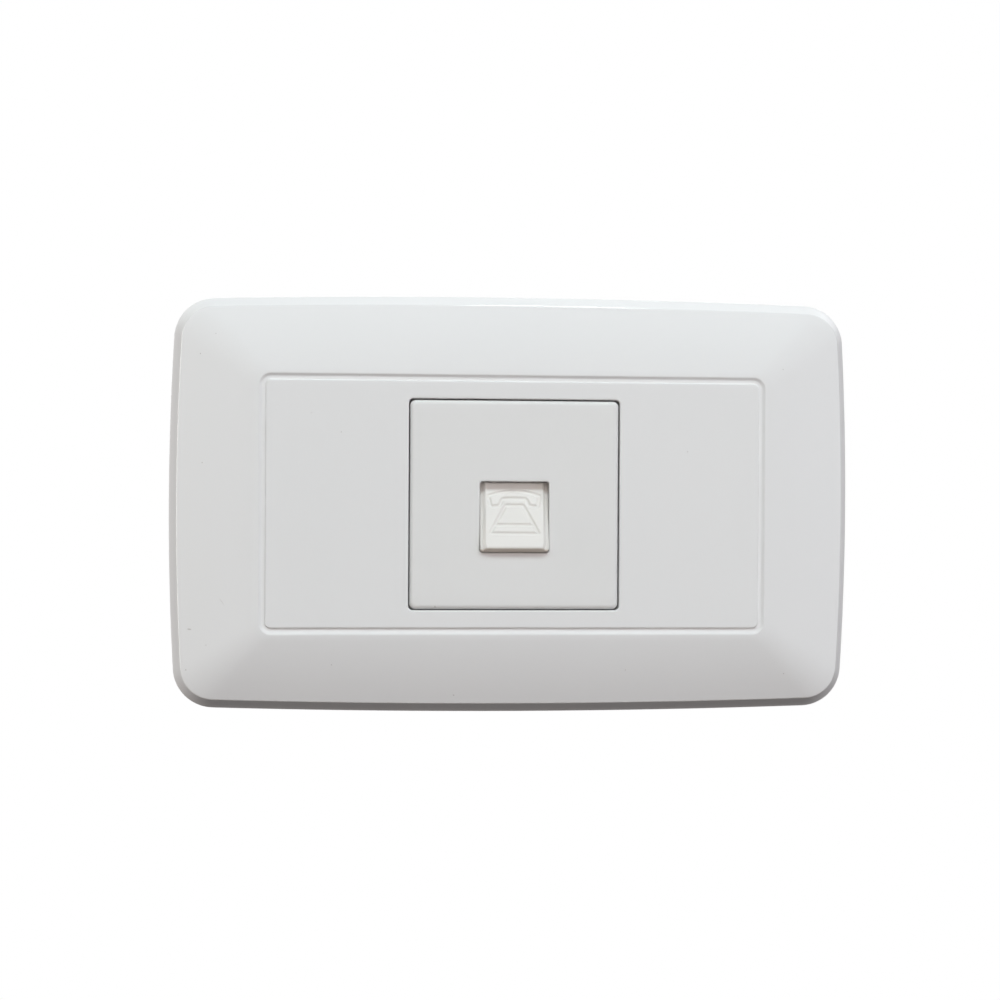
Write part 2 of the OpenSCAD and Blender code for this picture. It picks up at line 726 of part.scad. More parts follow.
module jack_housing() color([0.2, 0.2, 0.22]) on_wall()
    difference() {
        union() {
            translate([-jack_w / 2, jack_bottom, board_front])
                cube([jack_w, jack_top - jack_bottom, jack_depth]);
            for (side = [-1, 1]) translate([side * (jack_w / 2 - peg_in), peg_y, board_rear + pocket_fit])
                cylinder(d = peg_d, h = board_t + cut);
        }
        translate([-mouth_w / 2, mouth_bottom, board_front + jack_back])
            cube([mouth_w, mouth_h, jack_depth]);
        translate([-latch_slot_w / 2, mouth_bottom - latch_slot_h, board_front + jack_back + latch_stop])
            cube([latch_slot_w, latch_slot_h + cut, jack_depth]);
        // grooves for the contacts in the roof, and the slots through which they enter the mouth
        for (i = [0 : contacts - 1]) translate([contact_x(i) - contact_w / 2 - contact_fit, 0, 0]) {
            translate([0, contact_y - contact_t / 2 - contact_fit, board_front - cut])
                cube([
                    contact_w + 2 * contact_fit, jack_roof,
                    contact_turn + 2 * contact_t - board_front + cut
                ]);
            translate([0, mouth_top - contact_t, contact_turn - 4.5 * contact_t])
                cube([contact_w + 2 * contact_fit, jack_roof + cut, 6.5 * contact_t]);
        }
    }

function contact_x(i) = (i - (contacts - 1) / 2) * contact_pitch;

// A line of even width through the given points, with round joints
module stroke(points, w) {
    for (i = [0 : len(points) - 2]) {
        d = points[i + 1] - points[i];
        translate(points[i]) rotate(atan2(d.y, d.x)) translate([0, -w / 2]) square([norm(d), w]);
    }
    for (i = [1 : len(points) - 1]) translate(points[i]) circle(d = w);
}

// A contact: a soldered tail, a run along the jack's roof and a free end that hangs into the mouth
module contact_wire(i) color([0.85, 0.7, 0.35]) on_wall()
    translate([contact_x(i) - contact_w / 2, 0, 0]) rotate([90, 0, 90]) linear_extrude(contact_w)
        stroke(
            [
                [contact_y, contact_tail],
                [contact_y, contact_bend],
                [contact_y - contact_bend_y, contact_turn],
                [mouth_top - contact_bend_y / 2, contact_turn],
                [mouth_top - contact_hang, contact_end]
            ],
            contact_t
        );

module circuit_board() color([0.15, 0.42, 0.25]) on_wall()
    difference() {
        block([1, 1] * board_side, board_rear, board_front);
        for (i = [0 : contacts - 1]) translate([contact_x(i), contact_y, board_rear - cut])
            cylinder(d = tail_hole_d, h = board_t + 2 * cut);
        for (side = [-1, 1]) {
            translate([side * (jack_w / 2 - peg_in), peg_y, board_rear - cut])
                cylinder(d = peg_d + 2 * pocket_fit, h = board_t + 2 * cut);
            translate([side * boss_at, boss_at, board_rear - cut])
                cylinder(d = board_screw_d + 4 * pocket_fit, h = board_t + 2 * cut);
        }
    }

// A pan-head screw along the z axis, head at the back, with a straight slot
module slotted_screw(d, l, head_d, head_h) {
    cylinder(d = d, h = l);
    difference() {
        translate([0, 0, -head_h]) cylinder(d = head_d, h = head_h);
        translate([0, 0, -head_h]) block([head_d + cut, screw_cut_w], -cut, screw_cut_deep);
    }
}

module board_screw(side) color([0.75, 0.76, 0.78]) on_wall()
    translate([side * boss_at, boss_at, board_rear])
        slotted_screw(board_screw_d, board_screw_l, board_head_d, board_head_h);

function terminal_x(i) = (i - (terminals - 1) / 2) * terminal_pitch;

module terminal_block() color([0.2, 0.45, 0.3]) on_wall()
    difference() {
        translate([0, terminal_y, 0]) block([block_w, block_h], block_rear, board_rear);
        for (i = [0 : terminals - 1]) translate([terminal_x(i), terminal_y, 0]) {
            // pocket for the clamp, open downwards for the line wire
            translate([-clamp_w / 2 - pocket_fit, -block_h / 2 - cut, clamp_rear - pocket_fit])
                cube([
                    clamp_w + 2 * pocket_fit,
                    block_h / 2 + cut + clamp_l / 2 + pocket_fit,
                    clamp_d + 2 * pocket_fit
                ]);
            // hole for the screw's head and neck
            translate([0, 0, block_rear - cut])
                cylinder(d = terminal_head_d + 4 * pocket_fit, h = head_level - block_rear + cut);
            translate([0, 0, block_rear])
                cylinder(d = terminal_screw_d + 4 * pocket_fit, h = clamp_rear + clamp_d - block_rear);
        }
    }

module terminal_clamp(i) color([0.8, 0.66, 0.34]) on_wall()
    translate([terminal_x(i), terminal_y, 0]) difference() {
        block([clamp_w, clamp_l], clamp_rear, clamp_rear + clamp_d);
        block(
            [clamp_w - 2 * clamp_wall, clamp_l + cut],
            clamp_rear + clamp_wall, clamp_rear + clamp_d - clamp_wall
        );
        translate([0, 0, clamp_rear - cut])
            cylinder(d = terminal_screw_d + 2 * thread_fit, h = clamp_wall + 2 * cut);
    }

module terminal_screw(i) color([0.75, 0.76, 0.78]) on_wall()
    translate([terminal_x(i), terminal_y, head_level])
        slotted_screw(
            terminal_screw_d, terminal_neck + clamp_wall + thread_reach, terminal_head_d, terminal_head_h
        );

cover_plate();
mounting_frame();
module_face();
module_body();
shutter();
shutter_spring();
jack_housing();
contact_wire(0);  // contact_wire_1
contact_wire(1);  // contact_wire_2
contact_wire(2);  // contact_wire_3
contact_wire(3);  // contact_wire_4
circuit_board();
board_screw(-1);  // board_screw_1
board_screw(1);  // board_screw_2
terminal_block();
terminal_clamp(0);  // terminal_clamp_1
terminal_clamp(1);  // terminal_clamp_2
terminal_clamp(2);  // terminal_clamp_3
terminal_clamp(3);  // terminal_clamp_4
terminal_screw(0);  // terminal_screw_1
terminal_screw(1);  // terminal_screw_2
terminal_screw(2);  // terminal_screw_3
terminal_screw(3);  // terminal_screw_4
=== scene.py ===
# %% [markdown]
# # A telephone wall socket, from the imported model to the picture
#
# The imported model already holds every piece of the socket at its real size. This lesson keeps
# that frame as it is and gives each piece the surface that a mould, a press or a lathe would
# leave. Pieces that the camera sees closely, such as the cover plate, are drawn again here with
# finer rounds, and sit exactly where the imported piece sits.
#
# The socket's own directions are used throughout: X runs to the right, Z runs up, and the front
# looks along minus Y. The wall is the plane Y = 0. Small sizes are written in millimetres.

import math

import bmesh
import bpy
from mathutils import Matrix, Vector

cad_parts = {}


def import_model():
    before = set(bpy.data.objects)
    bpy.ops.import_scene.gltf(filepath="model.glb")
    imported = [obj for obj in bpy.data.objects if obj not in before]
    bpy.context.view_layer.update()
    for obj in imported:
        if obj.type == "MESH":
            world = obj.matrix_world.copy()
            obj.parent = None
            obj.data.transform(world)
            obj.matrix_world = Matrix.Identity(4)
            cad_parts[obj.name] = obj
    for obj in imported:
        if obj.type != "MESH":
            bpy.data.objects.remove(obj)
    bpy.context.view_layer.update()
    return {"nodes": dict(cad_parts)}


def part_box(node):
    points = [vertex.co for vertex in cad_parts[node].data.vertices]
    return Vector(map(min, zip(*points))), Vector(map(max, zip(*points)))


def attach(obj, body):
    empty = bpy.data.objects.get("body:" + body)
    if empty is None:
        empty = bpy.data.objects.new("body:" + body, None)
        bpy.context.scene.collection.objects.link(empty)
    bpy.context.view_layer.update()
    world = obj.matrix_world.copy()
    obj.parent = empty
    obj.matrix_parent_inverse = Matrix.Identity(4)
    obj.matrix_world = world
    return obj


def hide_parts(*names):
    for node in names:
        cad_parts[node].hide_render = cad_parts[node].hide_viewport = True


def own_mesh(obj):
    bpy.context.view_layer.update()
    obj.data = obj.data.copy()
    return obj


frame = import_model()
print("pieces in the frame:", len(frame["nodes"]))

# %% [markdown]
# Blender counts in metres, while a socket is drawn in millimetres. Two small helpers do the
# change once: `wall` turns (right, up, out of the wall) in millimetres into a point of the frame,
# and `low_high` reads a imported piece's box back in the same three numbers.

# %% Millimetres and the wall
MM = 0.001


def wall(right, up, out):
    return Vector((right * MM, -out * MM, up * MM))


def low_high(node):
    """The lowest and highest (right, up, out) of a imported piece, in millimetres."""
    low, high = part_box(node)
    return (
        (low.x / MM, low.z / MM, -high.y / MM),
        (high.x / MM, high.z / MM, -low.y / MM),
    )


(_, _, _), (PLATE_X, PLATE_Z, PLATE_OUT) = low_high("cover_plate")
print("cover plate, half width, half height, depth:", round(PLATE_X, 2), round(PLATE_Z, 2), round(PLATE_OUT, 2))

# %% [markdown]
# A mesh can be made by clicking, by modifiers, or point by point in code. Here most moulded
# pieces are lofts, so one function takes points and faces and returns an object whose place is in
# its mesh. A mesh is closed and its faces are turned outwards before anything else is done to it.

# %% From points and faces to an object
def as_object(name, mesh):
    piece = bpy.data.objects.new(name, mesh)
    bpy.context.scene.collection.objects.link(piece)
    return piece


def closed_mesh(name, points, faces, sharp=40):
    """A closed mesh with outward faces, smooth but for edges sharper than the given angle."""
    mesh = bpy.data.meshes.new(name)
    mesh.from_pydata(points, [], faces)
    shape = bmesh.new()
    shape.from_mesh(mesh)
    bmesh.ops.remove_doubles(shape, verts=shape.verts, dist=1e-7)
    bmesh.ops.recalc_face_normals(shape, faces=shape.faces)
    if shape.calc_volume(signed=True) < 0:
        bmesh.ops.reverse_faces(shape, faces=shape.faces)
    shape.to_mesh(mesh)
    shape.free()
    smooth(mesh, sharp)
    return mesh


def smooth(mesh, sharp=40):
    mesh.polygons.foreach_set("use_smooth", [True] * len(mesh.polygons))
    mesh.set_sharp_from_angle(angle=math.radians(sharp))


def joined(name, objects):
    """One object from several, all of whose places are in their meshes."""
    shape = bmesh.new()
    for part in objects:
        shape.from_mesh(part.data)
    mesh = bpy.data.meshes.new(name)
    shape.to_mesh(mesh)
    shape.free()
    for part in objects:
        bpy.data.objects.remove(part)
    return as_object(name, mesh)


def with_modifiers(piece):
    """The same piece with its modifiers worked into a plain mesh."""
    evaluated = piece.evaluated_get(bpy.context.evaluated_depsgraph_get())
    mesh = bpy.data.meshes.new_from_object(evaluated)
    piece.modifiers.clear()
    piece.data = mesh
    return piece


print("mesh helpers ready")

# %% [markdown]
# Shader and geometry trees are both made of nodes with sockets. A tree is easiest to read when
# its arithmetic looks like arithmetic, so `Value` wraps an output socket and answers to + - * /,
# also when the plain number comes first. Every other node comes from one method, which sets the
# node's own settings first and then fills its sockets.

# %% Node trees written as expressions
def operator(operation, swapped=False):
    def apply(self, other):
        pair = (other, self) if swapped else (self, other)
        return self.nodes.node("ShaderNodeMath", {"operation": operation}, dict(enumerate(pair)))

    return apply


class Value:
    """One output socket. Arithmetic on it adds Math nodes."""

    def __init__(self, nodes, socket):
        self.nodes = nodes
        self.socket = socket

    __add__ = operator("ADD")
    __radd__ = operator("ADD", swapped=True)
    __sub__ = operator("SUBTRACT")
    __rsub__ = operator("SUBTRACT", swapped=True)
    __mul__ = operator("MULTIPLY")
    __rmul__ = operator("MULTIPLY", swapped=True)
    __truediv__ = operator("DIVIDE")
    __lt__ = operator("LESS_THAN")
    __gt__ = operator("GREATER_THAN")
    higher = operator("MAXIMUM")
    lower = operator("MINIMUM")


class Nodes:
    """A node tree. node() adds a node of any type and returns one of its outputs."""

    def __init__(self, tree):
        self.tree = tree

    def node(self, kind, settings=None, sockets=None, output=0):
        made = self.tree.nodes.new(kind)
        for key, setting in (settings or {}).items():
            setattr(made, key, setting)
        for key, given in (sockets or {}).items():
            if isinstance(given, Value):
                self.tree.links.new(given.socket, made.inputs[key])
            else:
                made.inputs[key].default_value = given
        return Value(self, made.outputs[output] if made.outputs else None)

    def smooth_step(self, value, low, high, start=0.0, end=1.0):
        """Runs from start to end while the value runs from low to high, gently at both ends."""
        return self.node(
            "ShaderNodeMapRange", {"interpolation_type": "SMOOTHSTEP"},
            {0: value, 1: low, 2: high, 3: start, 4: end},
        )


print("node helpers ready")

# %% [markdown]
# Every finish here is a small story about how the piece was made. Injection moulding leaves a
# skin that copies the tool: polished steel gives gloss with a faint orange peel, and spark-eroded
# steel gives a fine satin grain. Over that lie dust, hair scratches and the uneven shine of
# handling. `Finish` sets up a Principled surface and the patterns that all finishes share. They
# read Object coordinates, which are the frame's metres, so a pattern's size is a real size.

# %% What every finish shares
class Finish(Nodes):
    def __init__(self, slot):
        self.material = bpy.data.materials.new(slot)
        self.material.use_nodes = True
        super().__init__(self.material.node_tree)
        self.tree.nodes.clear()
        self.place = self.node("ShaderNodeTexCoord", output=3)

    def noise(self, size_mm, detail=2.0, roughness=0.5, stretch=None, output=0):
        """A soft random pattern whose lumps are about size_mm across."""
        where = self.place
        if stretch is not None:
            where = self.node("ShaderNodeMapping", {}, {"Vector": self.place, "Scale": stretch})
        return self.node(
            "ShaderNodeTexNoise", {},
            {"Vector": where, "Scale": 1 / (size_mm * MM), "Detail": detail, "Roughness": roughness},
            output,
        )

    def flecks(self, spacing_mm, radius_mm, share):
        """A mask of small round flecks, one in a share of the cells of a random pattern."""
        settings = {"feature": "F1"}
        sockets = {"Vector": self.place, "Scale": 1 / (spacing_mm * MM), "Randomness": 1.0}
        near = self.node("ShaderNodeTexVoronoi", settings, sockets, "Distance")
        chance = self.node("ShaderNodeTexVoronoi", settings, sockets, "Color")
        picked = self.node("ShaderNodeSeparateColor", {}, {0: chance}) < share
        edge = radius_mm / spacing_mm
        return picked * self.smooth_step(near, edge * 0.5, edge, 1.0, 0.0)

    def spot(self, right, up, radius_mm, long=1.0, turn=0.0):
        """A mask of one fleck at a chosen place of the front, drawn out along its turn."""
        moved = self.node(
            "ShaderNodeMapping", {"vector_type": "TEXTURE"},
            {"Vector": self.place, "Location": wall(right, up, 0),
             "Rotation": (0.0, math.radians(turn), 0.0), "Scale": (long, 1.0, 1.0)},
        )
        parts = self.node("ShaderNodeSeparateXYZ", {}, {0: moved})
        depth = Value(self, parts.socket.node.outputs[2])
        away = self.node("ShaderNodeMath", {"operation": "SQRT"}, {0: parts * parts + depth * depth})
        return self.smooth_step(away, radius_mm * 0.4 * MM, radius_mm * MM, 1.0, 0.0)

    def mix(self, factor, first, second):
        return self.node(
            "ShaderNodeMix", {"data_type": "RGBA"}, {0: factor, 6: first, 7: second}, output=2
        )

    def bump(self, height, depth_mm, under=None):
        sockets = {"Height": height, "Strength": 1.0, "Distance": depth_mm * MM}
        if under is not None:
            sockets["Normal"] = under
        return self.node("ShaderNodeBump", {}, sockets)

    def surface(self, **sockets):
        named = {key.replace("_", " "): value for key, value in sockets.items()}
        shader = self.node("ShaderNodeBsdfPrincipled", {}, named)
        self.node("ShaderNodeOutputMaterial", {}, {"Surface": shader})
        return self.material


def tone(red, green, blue, level=1.0):
    return (red * level, green * level, blue * level, 1.0)


FINISHES = {}
print("finish helpers ready")

# %% [markdown]
# ## Glossy white for the cover plate
#
# The cover comes from a polished tool. Its white is neutral, a touch cooler in the shade. Seen
# closely it isn't perfect: a faint orange peel bends the highlights, a few dust flecks sit on it,
# and one moulding chip marks the panel. The flecks that show in the photograph are put where
# they are, and a thin random scatter fills the rest.

# %% Finish: cover_gloss
# Each fleck: right, up, radius in millimetres, how long it is for its width, its turn in degrees
COVER_FLECKS = [
    (-54.8, -21.35, 0.16, 3.0, 5), (-55.4, -28.25, 0.16, 1.0, 0), (-51.9, -23.95, 0.12, 1.0, 0),
    (-50.5, 28.65, 0.12, 1.0, 0), (-53.1, 25.25, 0.12, 1.6, 60), (-52.7, 6.85, 0.14, 1.0, 0),
    (-29.3, 12.15, 0.13, 1.0, 0), (-34.3, 15.35, 0.12, 1.0, 0), (-30.8, -27.25, 0.13, 1.0, 0),
    (-10.1, -32.65, 0.13, 1.5, 20), (19.3, -28.25, 0.12, 1.0, 0), (46.9, -28.95, 0.14, 1.0, 0),
    (29.6, 9.25, 0.13, 1.0, 0), (46.2, 23.55, 0.12, 1.0, 0),
]


def cover_gloss():
    finish = Finish("cover_gloss")
    cloud = finish.noise(22, detail=3)
    dirt = finish.flecks(9, 0.12, 0.16)
    for right, up, radius, long, turn in COVER_FLECKS:
        dirt = dirt.higher(finish.spot(right, up, radius, long, turn))
    scratch = finish.spot(-49.2, -16.6, 0.09, 10.0, 54)
    dirt = dirt.higher(scratch * 0.5)
    white = finish.mix(cloud, tone(0.800, 0.800, 0.806), tone(0.815, 0.813, 0.817))
    shade = finish.mix(dirt * 0.45, white, tone(0.33, 0.30, 0.28))
    handled = finish.noise(14, detail=4, roughness=0.6)
    peel = finish.noise(1.6, detail=1)
    grain = finish.noise(0.12, detail=2)
    level = finish.node("ShaderNodeSeparateXYZ", {}, {0: finish.place}, "Y") * (-1 / MM)
    rubbed = finish.smooth_step(level, 4.12, 4.2) * finish.smooth_step(level, 4.28, 4.35, 1.0, 0.0)
    return finish.surface(
        Base_Color=shade,
        Roughness=0.40 + 0.08 * handled + 0.15 * scratch + 0.2 * dirt,
        IOR=1.5,
        Specular_IOR_Level=0.08,
        Coat_Weight=rubbed * 0.9,
        Coat_Roughness=0.1,
        Normal=finish.bump(grain * 0.2 + scratch, 0.002, finish.bump(peel, 0.004)),
    )


FINISHES["cover_gloss"] = cover_gloss()
print("cover_gloss:", len(FINISHES["cover_gloss"].node_tree.nodes), "nodes")

# %% [markdown]
# ## Satin white for the module's face
#
# The module comes from another tool, with a finer, duller grain, and its white is a hair warmer.
# Its grain is spark-eroded: small pits of many sizes with no direction.

# %% Finish: face_satin
def face_satin():
    finish = Finish("face_satin")
    cloud = finish.noise(9, detail=3)
    pits = finish.noise(0.22, detail=3, roughness=0.65)
    dirt = finish.flecks(6, 0.09, 0.12).higher(finish.spot(-13.4, -17.3, 0.16, 1.5, 40))
    white = finish.mix(cloud, tone(0.785, 0.785, 0.785), tone(0.80, 0.798, 0.795))
    return finish.surface(
        Base_Color=finish.mix(dirt * 0.4, white, tone(0.36, 0.33, 0.30)),
        Roughness=0.42 + 0.08 * finish.noise(5, detail=4) + 0.1 * pits,
        IOR=1.5,
        Specular_IOR_Level=0.12,
        Normal=finish.bump(pits, 0.004),
    )


FINISHES["face_satin"] = face_satin()

# %% [markdown]
# ## The hidden plastics
#
# Behind the cover nobody polishes a tool. The frame and the module's body are dull off-white, with
# flow marks that run away from where the plastic entered. The jack is black with a faint sheen,
# and the terminal block is green. One function makes all four: colour, dullness, and the size and
# depth of the grain are what differ.

# %% Finishes: frame_plastic, body_plastic, jack_plastic, terminal_plastic
def plain_plastic(slot, colour, dull, grain_mm, grain_depth_mm, flow=(1.0, 1.0, 1.0)):
    finish = Finish(slot)
    cloud = finish.noise(8, detail=4, stretch=flow)
    grain = finish.noise(grain_mm, detail=3, roughness=0.6)
    dust = finish.flecks(3.5, 0.1, 0.2)
    deep = tone(*colour, 0.90)
    dust_and_shade = tone(*[0.6 * part + 0.16 for part in colour])
    return finish.surface(
        Base_Color=finish.mix(dust * 0.5, finish.mix(cloud, deep, tone(*colour, 1.05)), dust_and_shade),
        Roughness=dull - 0.06 + 0.12 * cloud + 0.08 * grain,
        IOR=1.5,
        Normal=finish.bump(grain, grain_depth_mm),
    )


PLASTICS = {
    "frame_plastic": ((0.72, 0.72, 0.69), 0.5, 0.3, 0.006, (0.35, 1.0, 1.0)),
    "body_plastic": ((0.74, 0.74, 0.71), 0.45, 0.25, 0.005, (1.0, 0.4, 1.0)),
    "jack_plastic": ((0.022, 0.022, 0.024), 0.38, 0.2, 0.004, (1.0, 0.5, 1.0)),
    "terminal_plastic": ((0.025, 0.17, 0.075), 0.42, 0.2, 0.004, (1.0, 0.5, 1.0)),
}
for slot, values in PLASTICS.items():
    FINISHES[slot] = plain_plastic(slot, *values)
print("plastics:", ", ".join(PLASTICS))

# %% [markdown]
# ## Metals
#
# The contacts are gold over nickel, the clamps are brass strip, the screws are zinc-plated and the
# spring is drawn stainless wire. A metal's look is mostly its reflection, so colour varies
# little and roughness varies more: rolled strip has fine lines along it, and plating a cloudy
# bloom.

# %% Finishes: contact_gilt, clamp_brass, screw_steel, spring_steel
def metal(slot, colour, polish, line_mm, stretch, bloom):
    finish = Finish(slot)
    lines = finish.noise(line_mm, detail=3, roughness=0.6, stretch=stretch)
    cloud = finish.noise(1.2, detail=4)
    dull = tone(*colour, 1 - bloom)
    return finish.surface(
        Base_Color=finish.mix(cloud, dull, tone(*colour)),
        Metallic=1.0,
        Roughness=polish + 0.12 * lines + bloom * 0.5 * cloud,
        Normal=finish.bump(lines, 0.002),
    )


METALS = {
    "contact_gilt": ((0.95, 0.72, 0.33), 0.16, 0.15, (1.0, 0.1, 1.0), 0.10),
    "clamp_brass": ((0.80, 0.60, 0.30), 0.26, 0.2, (1.0, 0.1, 1.0), 0.22),
    "screw_steel": ((0.72, 0.73, 0.74), 0.25, 0.25, (1.0, 1.0, 1.0), 0.25),
    "spring_steel": ((0.66, 0.66, 0.66), 0.2, 0.1, (1.0, 1.0, 1.0), 0.10),
}
for slot, values in METALS.items():
    FINISHES[slot] = metal(slot, *values)
print("metals:", ", ".join(METALS))

# %% [markdown]
# ## The circuit board
#
# A glass-fibre board under green solder resist: the weave shows faintly through the resist.

# %% Finish: board_laminate
def board_laminate():
    finish = Finish("board_laminate")
    weave = finish.node(
        "ShaderNodeTexWave", {"bands_direction": "X"},
        {"Vector": finish.place, "Scale": 0.9 / MM, "Distortion": 0.4},
    ) * finish.node(
        "ShaderNodeTexWave", {"bands_direction": "Z"},
        {"Vector": finish.place, "Scale": 0.9 / MM, "Distortion": 0.4},
    )
    cloud = finish.noise(5, detail=3)
    green = finish.mix(cloud, tone(0.012, 0.095, 0.040), tone(0.018, 0.125, 0.055))
    return finish.surface(
        Base_Color=finish.mix(weave * 0.25, green, tone(0.06, 0.20, 0.09)),
        Roughness=0.28 + 0.1 * weave,
        IOR=1.52,
        Normal=finish.bump(weave, 0.003),
    )


FINISHES["board_laminate"] = board_laminate()
print("finishes:", len(FINISHES))

# %% [markdown]
# ## Lofts
#
# A moulded cover is a stack of outlines: at the wall, at the edge, along the slope, round the
# panel. Each outline is a rectangle with round corners whose sides bow out a little, and all have
# equally many points in the same order, so neighbours can be joined by quads. A loft like this
# gives full control of every round, where a subdivided box would melt the corners.

# %% Outlines and the skin between them
CORNER_STEPS = 20
SIDE_STEPS = 24


def outline(half_x, half_z, radius, out, bow=0.0, drop=0.0):
    """Points of one outline, in millimetres, at a level out of the wall."""
    lean_x = math.atan(2 * bow / (half_x - bow - radius))
    lean_z = math.atan(2 * bow / (half_z - bow - radius))
    mid_x = half_x - bow - radius * math.cos(lean_z)
    mid_z = half_z - bow - radius * math.cos(lean_x)
    end_x = mid_x + radius * math.sin(lean_x)
    end_z = mid_z + radius * math.sin(lean_z)
    first = lean_z
    last = math.pi / 2 - lean_x
    angles = [first + (last - first) * i / CORNER_STEPS for i in range(CORNER_STEPS + 1)]
    corner = [(mid_x + radius * math.cos(a), mid_z + radius * math.sin(a)) for a in angles]
    shares = [1 - 2 * i / SIDE_STEPS for i in range(1, SIDE_STEPS)]
    top = [(end_x * t, half_z - bow * t * t) for t in shares]
    left = [(-(half_x - bow * t * t), end_z * t) for t in shares]
    flat = corner + top + [(-x, z) for x, z in reversed(corner)] + left
    flat += [(-x, -z) for x, z in corner] + [(-x, -z) for x, z in top]
    flat += [(x, -z) for x, z in reversed(corner)] + [(-x, -z) for x, z in left]
    return [wall(x, z + drop, out) for x, z in flat]


def tube_of_outlines(name, outlines):
    """A closed skin through the outlines and from the last back to the first."""
    count = len(outlines[0])
    points = [point for line in outlines for point in line]
    faces = []
    for k in range(len(outlines)):
        here = k * count
        there = (k + 1) % len(outlines) * count
        for i in range(count):
            j = (i + 1) % count
            faces.append((here + i, here + j, there + j, there + i))
    return as_object(name, closed_mesh(name, points, faces))


def arc(steps, start, end):
    """Angles in radians from start to end degrees, both included."""
    return [math.radians(start + (end - start) * i / steps) for i in range(steps + 1)]


print("points in one outline:", len(outline(10, 10, 1, 0)))

# %% [markdown]
# ## The cover plate
#
# Going outwards from the module's opening: a wall with a small rounded edge, the flat panel, the
# moulded channel with its sloping outer side, the crowned surround that falls to the rim, the
# rim's rounded edge, and the rim itself, which leans out to the wall. The skin then turns inside
# and follows the front at the wall's thickness, down to the collar round the opening.

# %% Sizes of the cover plate
OPENING = 17.94         # half of the module's opening
OPENING_R = 0.8         # its corner radius
OPENING_EDGE = 0.22     # rounding of its front edge
COLLAR_LOW = 3.4        # level at which the collar ends
COLLAR_WALL = 1.5
CHANNEL_X, CHANNEL_Z = 43.0, 22.0    # half sizes of the channel's outer edge
CHANNEL_R = 2.0
CHANNEL_WIDE = 1.1
CHANNEL_DEEP = 0.4
CHANNEL_SLOPE = 0.42    # width of its sloping outer side
CHANNEL_EDGE = 0.1
LAND = 0.2              # flat land outside the channel
RIM_OUT = 4.4           # level of the rim's front edge
RIM_LEAN = 1.7          # how far the rim leans in on its way out
RIM_ROUND = 0.4
RIM_MID_LEAN, RIM_MID_OUT = 2.128, 3.985    # middle of the rounding, which touches both slopes
CORNER_R = 7.0
BOW = 0.8
CROWN = 0.35
COVER_WALL = 1.8
SURROUND_STEPS = 14

# %% Outlines of the cover plate
def rim_outline(lean, out, wall_in=0.0):
    return outline(
        PLATE_X - lean - wall_in, PLATE_Z - lean - wall_in, CORNER_R - 0.8 * lean, out, BOW
    )


def surround_outline(share, wall_in=0.0):
    """The surround from the rim (share 0) to the land by the channel (share 1)."""
    start = RIM_LEAN + RIM_ROUND
    in_x = start + (PLATE_X - CHANNEL_X - LAND - start) * share
    in_z = start + (PLATE_Z - CHANNEL_Z - LAND - start) * share
    radius = (CORNER_R - RIM_LEAN) * (1 - share) + (CHANNEL_R + LAND) * share
    rise = share + CROWN * share * (1 - share)
    out = RIM_OUT + (PLATE_OUT - RIM_OUT) * rise - wall_in
    return outline(PLATE_X - in_x - wall_in, PLATE_Z - in_z - wall_in, radius, out, BOW * (1 - share))


def channel_outline(inward, out):
    """An outline parallel to the channel's outer edge. The inner corners are nearly sharp."""
    return outline(CHANNEL_X - inward, CHANNEL_Z - inward, max(CHANNEL_R - inward, 0.35), out)


def opening_outline(outward, out):
    return outline(OPENING + outward, OPENING + outward, OPENING_R + outward, out)


def cover_outlines():
    top = PLATE_OUT
    lines = [opening_outline(0, COLLAR_LOW), opening_outline(0, top - OPENING_EDGE - 0.3)]
    for a in arc(5, 0, 90):
        lines.append(opening_outline(
            OPENING_EDGE * (1 - math.cos(a)), top - OPENING_EDGE * (1 - math.sin(a))
        ))
    lines.append(opening_outline(OPENING_EDGE + 0.3, top))
    # the channel, from its inner side over the floor to its outer side
    inner = CHANNEL_WIDE
    edge = CHANNEL_EDGE
    low = top - CHANNEL_DEEP
    lines += [channel_outline(inner + 0.6, top), channel_outline(inner + edge, top)]
    for a in arc(3, 90, 0)[1:]:
        lines.append(channel_outline(inner + edge * (1 - math.cos(a)), top - edge * (1 - math.sin(a))))
    lines += [channel_outline(inner - 0.02, low + edge), channel_outline(inner - 0.12, low)]
    lines += [channel_outline(CHANNEL_SLOPE + 0.1, low), channel_outline(CHANNEL_SLOPE - 0.02, low + 0.04)]
    lines += [channel_outline(0.1, top - 0.08), channel_outline(0.02, top - 0.02)]
    lines.append(channel_outline(-0.08, top))
    # the surround, the rim's rounded edge and the rim
    lines += [surround_outline(1 - i / SURROUND_STEPS) for i in range(SURROUND_STEPS + 1)]
    for a in arc(6, 20, 67):
        lines.append(rim_outline(
            RIM_MID_LEAN - RIM_ROUND * math.sin(a), RIM_MID_OUT + RIM_ROUND * math.cos(a)
        ))
    for share in (0.9, 0.5, 0.08):
        lines.append(rim_outline(RIM_LEAN * share, (RIM_OUT - RIM_ROUND) * share))
    lines += [rim_outline(0.0, 0.12), rim_outline(0.06, 0.02), rim_outline(0.18, 0.0)]
    # inside: the rim's thickness, the cavity, its ceiling and the collar
    lines += [rim_outline(0, 0, COVER_WALL), rim_outline(RIM_LEAN, RIM_OUT - COVER_WALL, COVER_WALL)]
    lines += [surround_outline(share, COVER_WALL) for share in (0.12, 0.3, 0.5, 0.7, 0.9, 1.0)]
    lines += [opening_outline(COLLAR_WALL, top - COVER_WALL), opening_outline(COLLAR_WALL, COLLAR_LOW)]
    return lines


cover_lines = cover_outlines()
print("outlines in the cover:", len(cover_lines))

# %% [markdown]
# Four snap hooks hold the cover to the frame. One is drawn as a side profile, and a Geometry Nodes
# tree copies it to its four places: the lower two are the upper two turned half round, which keeps
# every face outwards, as a mirror would not.

